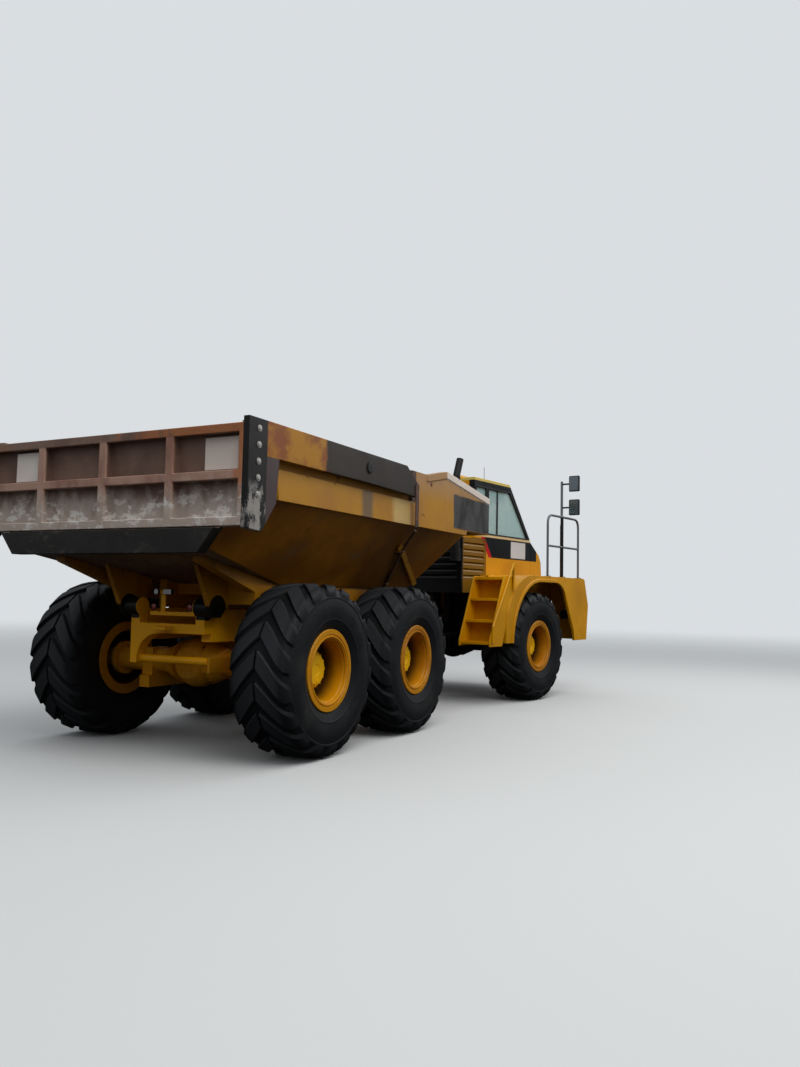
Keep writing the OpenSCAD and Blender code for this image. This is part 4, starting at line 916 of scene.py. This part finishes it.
# Steps and their grips
# The steps are folded steel, one piece with the fenders. Each tread carries a row of grip bars, welded on
# across the way the foot goes.
TREAD_COUNT = 4
NEXT_TREAD = (0.130, 0, 0.325)
GRIP_COUNT = 6
NEXT_GRIP = (0.052, 0, 0)
grip = Shape()
grip.box((-0.248, 1.150, 0.9648), (-0.240, 1.590, 0.972))
treads = bmesh.new()
row = repeated(grip, fender_enamel, GRIP_COUNT, step=NEXT_GRIP)
for tread in range(TREAD_COUNT):
    treads.from_mesh(row)
    row.transform(Matrix.Translation(NEXT_TREAD))
for name, side in SIDES:
    mesh = bpy.data.meshes.new("tread_grips")
    treads.to_mesh(mesh)
    shape = Shape(mirrored(tractor_place, side))
    shape.bm.from_mesh(mesh)
    shape.finish(f"step_grips_{name}", fender_enamel, "tractor")
treads.free()


# Exhaust, deck rails and mirrors
# Steel tube, black for the stack and the lower posts, worn grey for the rails and the upper mirror posts. The
# stack has clamp bands and a bent tip, the rails stand on bolted feet, and each mirror is a moulded head with
# its glass at the back.
finish_nodes(black_steel, "exhaust_stack")
STACK_SPOT = (0.15, -0.73)
shape = Shape(tractor_place)
for z, radius in ((2.30, 0.080), (3.06, 0.080), (3.50, 0.064)):
    shape.bar([(*STACK_SPOT, z), (*STACK_SPOT, z + 0.028)], radius, 40)
shape.finish("exhaust_bands", black_steel, "tractor", edge=0.004)

tube_grey = bare_steel("tube grey", "dark_steel", tint(112, 116, 120), 0.4, 0.3, 0.3)
RAIL_Y = 1.600
RAIL_TOP = 3.040
RAIL_X = (1.65, 2.20, 2.85)
DECK_Z = 2.0
for name, side in SIDES:
    shape = Shape(mirrored(tractor_place, side))
    shape.bar([(RAIL_X[0], RAIL_Y, DECK_Z), (RAIL_X[0], RAIL_Y, RAIL_TOP), (RAIL_X[2], RAIL_Y, RAIL_TOP),
               (RAIL_X[2], RAIL_Y, DECK_Z)], 0.0195, 16, corner=0.16)
    shape.bar([(RAIL_X[0], RAIL_Y, 2.52), (RAIL_X[2], RAIL_Y, 2.52)], 0.0185, 16)
    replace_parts(shape.finish(f"deck_rail_{name}", tube_grey, "tractor"), "deck_rails")
    shape = Shape(mirrored(tractor_place, side))
    shape.bar([(RAIL_X[1], RAIL_Y, DECK_Z), (RAIL_X[1], RAIL_Y, RAIL_TOP)], 0.0235, 16)
    for x in RAIL_X:
        shape.box((x - 0.055, RAIL_Y - 0.04, DECK_Z - 0.001), (x + 0.055, RAIL_Y + 0.04, DECK_Z + 0.009))
        for bolt_x in (x - 0.038, x + 0.038):
            foot = Vector((bolt_x, RAIL_Y + 0.024, DECK_Z + 0.008))
            shape.bar([foot, foot + Vector((0, 0, 0.010))], 0.009, 6)
    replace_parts(shape.finish(f"deck_post_{name}", black_steel, "tractor"), "deck_rails")

mirror_glass = bare_steel("mirror glass", "dark_plastic", tint(150, 160, 166), 0.08, 1.0, 0.0)
MIRROR_X = 2.600
MIRROR_POST_Y = 1.400
for name, side in SIDES:
    at = mirrored(tractor_place, side)
    pipe = Shape(at)
    pipe.bar([(MIRROR_X, MIRROR_POST_Y, 2.90), (MIRROR_X, MIRROR_POST_Y, 3.720)], 0.0225, 16)
    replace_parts(pipe.finish(f"mirror_pipe_{name}", tube_grey, "tractor"), "mirrors")
    post = Shape(at)
    post.bar([(MIRROR_X, MIRROR_POST_Y, DECK_Z), (MIRROR_X, MIRROR_POST_Y, 2.94)], 0.0285, 20)
    post.box((MIRROR_X - 0.06, MIRROR_POST_Y - 0.05, DECK_Z - 0.001),
             (MIRROR_X + 0.06, MIRROR_POST_Y + 0.05, DECK_Z + 0.010))
    heads = Shape(at)
    faces = Shape(at)
    for z in (3.110, 3.530):
        post.bar([(MIRROR_X, MIRROR_POST_Y, z + 0.14), (MIRROR_X, MIRROR_POST_Y + 0.16, z + 0.14)], 0.015, 12)
        heads.box((MIRROR_X - 0.026, MIRROR_POST_Y + 0.141, z),
                  (MIRROR_X + 0.030, MIRROR_POST_Y + 0.339, z + 0.280))
        faces.box((MIRROR_X - 0.029, MIRROR_POST_Y + 0.158, z + 0.017),
                  (MIRROR_X - 0.024, MIRROR_POST_Y + 0.322, z + 0.263))
    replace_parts(post.finish(f"mirror_post_{name}", black_steel, "tractor"), "mirrors")
    heads.finish(f"mirror_heads_{name}", black_plastic, "tractor", edge=0.018)
    faces.finish(f"mirror_faces_{name}", mirror_glass, "tractor", edge=0.001)


# Head lamps
# Round glass lamps in bright bowls, each held by a black plastic ring, two in the front face of each fender.
HEAD_LAMP_X = 3.09
HEAD_LAMP_Z = 1.35
for name, side in SIDES:
    for place, y in (("inner", 1.22), ("outer", 1.43)):
        spot = (HEAD_LAMP_X, side * y, HEAD_LAMP_Z)
        at = tractor_place @ Matrix.Translation(spot) @ Matrix.Rotation(-pi / 2, 4, "Z")
        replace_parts(turned_piece(f"head_lamp_ring_{place}_{name}", (
            (AXIS, 0.000), (0.084, 0.000), (0.084, 0.060), (0.081, 0.068), (0.072, 0.068), (0.070, 0.060),
            (AXIS, 0.060)), at, black_plastic, "tractor", 48), "head_lamps")
        turned_piece(f"head_lamp_lens_{place}_{name}", (
            (0.072, 0.059), (0.068, 0.063), (0.040, 0.068), (AXIS, 0.070)), at, clear_lens, "tractor", 48)


# Driver's seat
# Foam cushions in a sewn cloth cover on a black suspension pedestal. The cloth is swollen over the foam by a
# short simulation, and a piped seam runs round the face of each cushion.
def seat_cloth(name):
    f = Finish(name, "seat_fabric")
    weft = f.node("ShaderNodeTexWave", {"bands_direction": "X"}, {"Vector": f.place, "Scale": 60.0})
    warp = f.node("ShaderNodeTexWave", {"bands_direction": "Z"}, {"Vector": f.place, "Scale": 60.0})
    fade = f.cloud(0.2, 4)
    return f.surface({
        "Base Color": f.mix(fade * 0.5 + weft * warp * 0.3, tint(52, 54, 60), tint(84, 84, 88)),
        "Roughness": 0.9,
        "Sheen Weight": 0.3,
        "Normal": f.bump(weft * 0.5 + warp * 0.5, 0.002, 0.5),
    })


seat_fabric = seat_cloth("seat cloth")
SWELL = 0.022
SEAM_DIP = 0.012
STEPS = 18
# The cover stays this far inside its box
SEAT_GAP = 0.002


def cushion(name, low, high, rests):
    """A stuffed box between two corners. It keeps its flat face on rests, the axis and side that it lies on,
    and its cover is pulled in along the seam between its corners."""
    middle = (Vector(low) + Vector(high)) / 2
    half = (Vector(high) - Vector(low)) / 2
    inner = [h - (SWELL if k != rests[0] else SWELL * 0.55) for k, h in enumerate(half)]
    shape = Shape()
    shape.box([-h for h in inner], inner)
    bmesh.ops.bevel(shape.bm, geom=shape.bm.edges[:], offset=0.022, segments=3, profile=0.5, affect="EDGES")
    bmesh.ops.recalc_face_normals(shape.bm, faces=shape.bm.faces)
    mesh = bpy.data.meshes.new(name)
    shape.bm.to_mesh(mesh)
    shape.bm.free()
    holder = bpy.data.objects.new(name, mesh)
    bpy.context.scene.collection.objects.link(holder)
    even = holder.modifiers.new("even", "REMESH")
    even.mode = "VOXEL"
    even.voxel_size = 0.010
    start = bpy.data.meshes.new_from_object(holder.evaluated_get(bpy.context.evaluated_depsgraph_get()))
    holder.modifiers.clear()
    holder.data = start
    made = start
    cloth = holder.modifiers.new("cover", "CLOTH")
    cloth.settings.use_pressure = True
    cloth.settings.uniform_pressure_force = 4.0
    cloth.settings.effector_weights.gravity = 0.0
    cloth.point_cache.frame_start = 1
    cloth.point_cache.frame_end = STEPS
    for step in range(1, STEPS + 1):
        bpy.context.scene.frame_set(step)
    made = bpy.data.meshes.new_from_object(holder.evaluated_get(bpy.context.evaluated_depsgraph_get()))
    holder.modifiers.clear()
    bpy.context.scene.frame_set(1)
    axis, way = rests
    for vert, rest in zip(made.vertices, start.vertices):
        moved = vert.co - rest.co
        if moved.length > SWELL:
            moved *= SWELL / moved.length
        vert.co = rest.co + moved
        # The cover dips along its seams and stays flat where it rests
        for k in range(3):
            if k != axis:
                other = 3 - axis - k
                at = 1 - (vert.co[other] / half[other]) ** 2
                vert.co[k] -= SEAM_DIP * max(at, 0) * (vert.co[k] / half[k]) ** 3
        if way * vert.co[axis] > half[axis] - SWELL * 0.9:
            vert.co[axis] = way * (half[axis] - SEAT_GAP)
        for k in range(3):
            vert.co[k] = max(min(vert.co[k], half[k] - SEAT_GAP), SEAT_GAP - half[k])
    made.transform(tractor_place @ Matrix.Translation(middle))
    bpy.data.objects.remove(holder)
    piece = as_piece(name, made, seat_fabric, "tractor")
    smooth = piece.modifiers.new("soft", "SUBSURF")
    smooth.levels = smooth.render_levels = 1
    return piece


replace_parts(cushion("seat_cushion", (1.18, -0.25, 2.38), (1.68, 0.25, 2.50), (2, -1)), "driver_seat")
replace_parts(cushion("seat_back", (1.12, -0.24, 2.50), (1.23, 0.24, 3.10), (0, -1)), "driver_seat")
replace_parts(boxed_piece("seat_pedestal", [
    ((1.24, -0.16, 2.051), (1.56, 0.16, 2.12)),
    ((1.27, -0.13, 2.11), (1.53, 0.13, 2.36)),
    ((1.22, -0.20, 2.355), (1.64, 0.20, 2.383))],
    tractor_place, black_plastic, "tractor", edge=0.008), "driver_seat")


# Wheels
# Earthmover tyres 1.73 m high with deep chevron lugs, on five-piece steel rims whose dish is bolted to the
# planetary hub. The rubber is black with paler, worn lugs, and the rims keep most of their yellow enamel.
def tyre_rubber(name):
    f = Finish(name, "tyre_rubber")
    fine = f.cloud(0.03, 6, 0.6)
    radius = f.node("ShaderNodeAttribute", {"attribute_name": "radius"}, output="Fac")
    worn = f.rise(radius + fine * 0.01, 0.850, 0.866)
    muddy = f.rise(f.cloud(0.35, 6, 0.62), 0.46, 0.75)
    dusted = f.rise(radius, 0.80, 0.60) * f.rise(radius, 0.42, 0.5)
    colour = f.mix(fine, tint(9, 10, 12), tint(17, 20, 23))
    colour = f.mix(worn * 0.6, colour, tint(52, 55, 58))
    return f.surface({
        "Base Color": f.mix(muddy * (dusted * 0.22 + 0.06), colour, tint(70, 68, 64)),
        "Specular IOR Level": 0.25,
        "Roughness": 0.5 + fine * 0.2 + muddy * 0.2,
        "Normal": f.bump(fine, 0.004, 0.6),
    })


rubber = tyre_rubber("tyre rubber")


def rim_zones(f, colour):
    """The dish behind the bolts is painted dark, partly as grease and wet dirt and partly as painted shade in
    the deep rim, and the dark thins out on the well of the rim. The hub in its middle is painted brighter, as
    painted light against the shade of its recess."""
    radius = f.node("ShaderNodeAttribute", {"attribute_name": "radius"}, output="Fac")
    along = f.node("ShaderNodeAttribute", {"attribute_name": "along"}, output="Fac")
    ragged = f.cloud(0.07, 6, 0.65) * 0.05
    # Painted light: the hub is set a brighter yellow against the shade of its recess.
    colour = f.mix(f.rise(radius, 0.203, 0.197), colour, tint(255, 196, 16))
    # Painted shade, with grease and wet dirt, darkens the dish and thins out towards the rim's well.
    dish = f.rise(radius + ragged, 0.200, 0.235) * f.rise(radius, 0.306, 0.300)
    return f.mix(dish * f.rise(along + ragged, 0.26, 0.07) * 0.9, colour, tint(34, 20, 8))


rim_enamel = old_enamel("rim enamel", "rim_yellow", tint(204, 136, 2), tint(176, 110, 10), rust=0.4,
                        grease=0.2, clay=0.25, gloss=0.35, zones=rim_zones)

LUG_COUNT = 18
LUG_PITCH = 2 * pi / LUG_COUNT
LUG_EDGE = 0.010
LUG_BEND = 0.279
# Half of the tyre's section: radius and place along the axle, from the bead to the middle of the tread
CARCASS = ((0.322, 0.255), (0.345, 0.274), (0.405, 0.279), (0.425, 0.292), (0.47, 0.315), (0.495, 0.322),
           (0.505, 0.330), (0.525, 0.330), (0.535, 0.333), (0.60, 0.343), (0.66, 0.341), (0.715, 0.329),
           (0.722, 0.333), (0.738, 0.330), (0.744, 0.322), (0.79, 0.303), (0.818, 0.272), (0.826, 0.20),
           (0.829, 0.10), (0.830, 0.0))
# Stations of a lug: place along the axle, radius of its top, radius of its foot, half width
LUG = ((0.014, 0.8647, 0.820, 0.088), (0.075, 0.8647, 0.820, 0.094), (0.145, 0.8630, 0.815, 0.098),
       (0.215, 0.8590, 0.805, 0.100), (0.268, 0.8500, 0.790, 0.097), (0.300, 0.8330, 0.770, 0.088),
       (0.320, 0.8050, 0.750, 0.072), (0.331, 0.7700, 0.730, 0.050))


def lug(side):
    """One lug, from the middle of the tread round the shoulder, swept back like half a chevron. It is one
    pitch back where it reaches LUG_BEND."""
    shape = Shape()
    rings = []
    for along, top, foot, half in LUG:
        sweep = -LUG_PITCH * (along / LUG_BEND) ** 1.12
        flank = half + 0.018
        ring = []
        for radius, across in ((foot, -flank), (top - LUG_EDGE, -half), (top, LUG_EDGE - half),
                               (top, half - LUG_EDGE), (top - LUG_EDGE, half), (foot, flank)):
            a = sweep + across / radius
            ring.append((radius * sin(a), side * along, radius * cos(a)))
        rings.append(shape.ring(ring))
    shape.skin(rings)
    shape.bm.faces.new(rings[0])
    shape.bm.faces.new(rings[-1])
    return shape


def with_radius(shape):
    """Stores each point's distance from the axle and its place along it, for the finishes."""
    radius = shape.bm.verts.layers.float.new("radius")
    along = shape.bm.verts.layers.float.new("along")
    for vert in shape.bm.verts:
        vert[radius] = hypot(vert.co.x, vert.co.z)
        vert[along] = vert.co.y
    return shape


def tyre(place):
    shape = Shape(place)
    section = list(CARCASS) + [(radius, -along) for radius, along in reversed(CARCASS[:-1])]
    shape.lathe(section, sides=108, closed=True)
    for side in (1, -1):
        shape.bm.from_mesh(repeated(lug(side), rubber, LUG_COUNT, turn=LUG_PITCH))
    return with_radius(shape)


# The rim's section, outer side first: radius and place along the axle
RIM = ((0.404, 0.300), (0.410, 0.294), (0.410, 0.284), (0.404, 0.279), (0.320, 0.279), (0.318, 0.27),
       (0.318, -0.279), (0.404, -0.279), (0.410, -0.285), (0.410, -0.294), (0.404, -0.300), (0.312, -0.300),
       (0.297, -0.285), (0.297, 0.000), (0.292, 0.020), (0.296, 0.045), (0.300, 0.24), (0.306, 0.262),
       (0.318, 0.270), (0.318, 0.286), (0.328, 0.290), (0.332, 0.300), (0.346, 0.300), (0.350, 0.292),
       (0.358, 0.292), (0.362, 0.300))
# The dish and the planetary hub, and the bolts in each
DISH = ((0.296, -0.005), (0.296, 0.022), (0.262, 0.034), (0.215, 0.040), (0.196, 0.040), (0.193, 0.060),
        (0.190, 0.094), (0.180, 0.106), (0.166, 0.110), (0.160, 0.118), (0.150, 0.122), (0.148, 0.136),
        (0.138, 0.1415), (0.060, 0.1415), (0.056, 0.134), (AXIS, 0.134))
STUD_COUNT = 20
STUD_CIRCLE = 0.240
CAP_BOLTS = 12
CAP_CIRCLE = 0.158


def rim(place):
    shape = Shape(place)
    shape.lathe(RIM, sides=96, closed=True)
    shape.lathe(DISH, sides=96)
    stud = Shape()
    stud.lathe(((AXIS, 0.03), (0.017, 0.03), (0.017, 0.052), (0.011, 0.054), (0.011, 0.066), (AXIS, 0.066)),
               (STUD_CIRCLE, 0, 0), 12)
    shape.bm.from_mesh(repeated(stud, rim_enamel, STUD_COUNT, turn=2 * pi / STUD_COUNT))
    cap_bolt = Shape()
    cap_bolt.lathe(((AXIS, 0.118), (0.010, 0.118), (0.010, 0.131), (AXIS, 0.131)), (CAP_CIRCLE, 0, 0), 8)
    shape.bm.from_mesh(repeated(cap_bolt, rim_enamel, CAP_BOLTS, turn=2 * pi / CAP_BOLTS))
    # Drain plug, and the valve with its guard
    shape.bar([(0.0, 0.134, -0.105), (0.0, 0.149, -0.105)], 0.016, 8)
    shape.bar([(0.0, 0.02, 0.284), (0.0, 0.10, 0.286), (0.0, 0.17, 0.292)], 0.007, 8)
    return with_radius(shape)


def wheel_place(place, side):
    """The matrix that takes a wheel, whose outer face looks along Y, to its hub."""
    spot = Vector(joints[f"wheel_{place}_{side}_roll"]["pos_m"])
    turn = tractor_place.to_3x3() if place == "front" else Matrix.Identity(3)
    flip = Matrix.Diagonal((1, 1 if side == "left" else -1, 1)).to_4x4()
    return Matrix.Translation(spot) @ turn.to_4x4() @ flip


for place in ("front", "middle", "rear"):
    for side in ("left", "right"):
        body = f"wheel_{place}_{side}"
        at = wheel_place(place, side)
        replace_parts(tyre(at).finish(f"{body}_tyre", rubber, body), f"tyre_{place}_{side}")
        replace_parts(rim(at).finish(f"{body}_rim", rim_enamel, body), f"rim_{place}_{side}")


# Floor, light and camera
# A plain pale floor and an even overcast light. The floor gives back little light to the machine's underside,
# as wet ground does.
BACKDROP = (0.70, 0.73, 0.755, 1)
# The distances between which the floor fades into the backdrop
FADE = (10, 42)


def floor_finish():
    f = Finish("studio floor", None)
    seen = f.node("ShaderNodeLightPath", output="Is Camera Ray")
    away = f.node("ShaderNodeVectorMath", {"operation": "LENGTH"}, {0: f.place}, output="Value")
    matt = f.node("ShaderNodeBsdfPrincipled", sockets={
        "Base Color": f.mix(seen, tint(52, 50, 48), tint(206, 206, 204)), "Roughness": 0.9})
    backdrop = f.node("ShaderNodeEmission", sockets={"Color": BACKDROP})
    blend = f.node("ShaderNodeMixShader", sockets={0: f.rise(away, *FADE) * seen, 1: matt, 2: backdrop})
    f.tree.links.new(blend.socket, f.tree.nodes.new("ShaderNodeOutputMaterial").inputs["Surface"])
    return f.material


FLOOR_REACH = 120
bm = bmesh.new()
bmesh.ops.create_grid(bm, x_segments=1, y_segments=1, size=FLOOR_REACH)
floor_mesh = bpy.data.meshes.new("studio_floor")
bm.to_mesh(floor_mesh)
bm.free()
floor_mesh.materials.append(floor_finish())
floor = bpy.data.objects.new("studio_floor", floor_mesh)
bpy.context.scene.collection.objects.link(floor)

world = bpy.data.worlds.new("overcast sky")
bpy.context.scene.world = world
world.use_nodes = True
sky = Graph(world.node_tree)
seen = sky.node("ShaderNodeLightPath", output="Is Camera Ray")
ways = sky.node("ShaderNodeTexCoord", output="Generated")
height = sky.maths("MAXIMUM", sky.node("ShaderNodeSeparateXYZ", sockets={0: ways}, output="Z"), 0.0)
light = sky.node("ShaderNodeBackground", sockets={
    "Color": (0.90, 0.95, 1.0, 1), "Strength": height * 0.72 + 0.2})
backdrop = sky.node("ShaderNodeBackground", sockets={"Color": BACKDROP, "Strength": 1.0})
blend = sky.node("ShaderNodeMixShader", sockets={0: seen, 1: light, 2: backdrop})
sky_output = world.node_tree.nodes.new("ShaderNodeOutputWorld")
world.node_tree.links.new(blend.socket, sky_output.inputs["Surface"])

LIGHTS = (  # name, place, size, power in watts
    ("high_soft_light", (-6, -7, 12), 9, 900),
    ("far_soft_light", (8, -6, 9), 7, 350),
)
for name, spot, size, power in LIGHTS:
    lamp = bpy.data.lights.new(name, "AREA")
    lamp.size = size
    lamp.energy = power
    holder = bpy.data.objects.new(name, lamp)
    holder.location = spot
    holder.rotation_euler = (Vector((0, 0, 1)) - Vector(spot)).to_track_quat("-Z", "Y").to_euler()
    bpy.context.scene.collection.objects.link(holder)

# The camera stands behind the right rear wheel, a little under eye height. Its focal length is given as a
# share of the picture's height.
CAMERA_SPOT = Vector((-7.344, -6.189, 1.606))
CAMERA_YAW = radians(27.265)
CAMERA_PITCH = radians(4.256)
CAMERA_ROLL = radians(1.138)
FOCUS_SHARE = 857.1 / 1067
ahead = Vector((cos(CAMERA_YAW) * cos(CAMERA_PITCH), sin(CAMERA_YAW) * cos(CAMERA_PITCH), sin(CAMERA_PITCH)))
level = Vector((sin(CAMERA_YAW), -cos(CAMERA_YAW), 0))
upright = level.cross(ahead)
right = level * cos(CAMERA_ROLL) + upright * sin(CAMERA_ROLL)
up = upright * cos(CAMERA_ROLL) - level * sin(CAMERA_ROLL)
lens_data = bpy.data.cameras.new("photo_camera")
lens_data.sensor_fit = "AUTO"
lens_data.sensor_width = 36
lens_data.lens = FOCUS_SHARE * 36
camera = bpy.data.objects.new("photo_camera", lens_data)
turn = Matrix((right, up, -ahead)).transposed().to_4x4()
camera.matrix_world = Matrix.Translation(rear_origin + CAMERA_SPOT) @ turn
bpy.context.scene.collection.objects.link(camera)
bpy.context.scene.camera = camera
bpy.context.scene.view_settings.view_transform = "Standard"
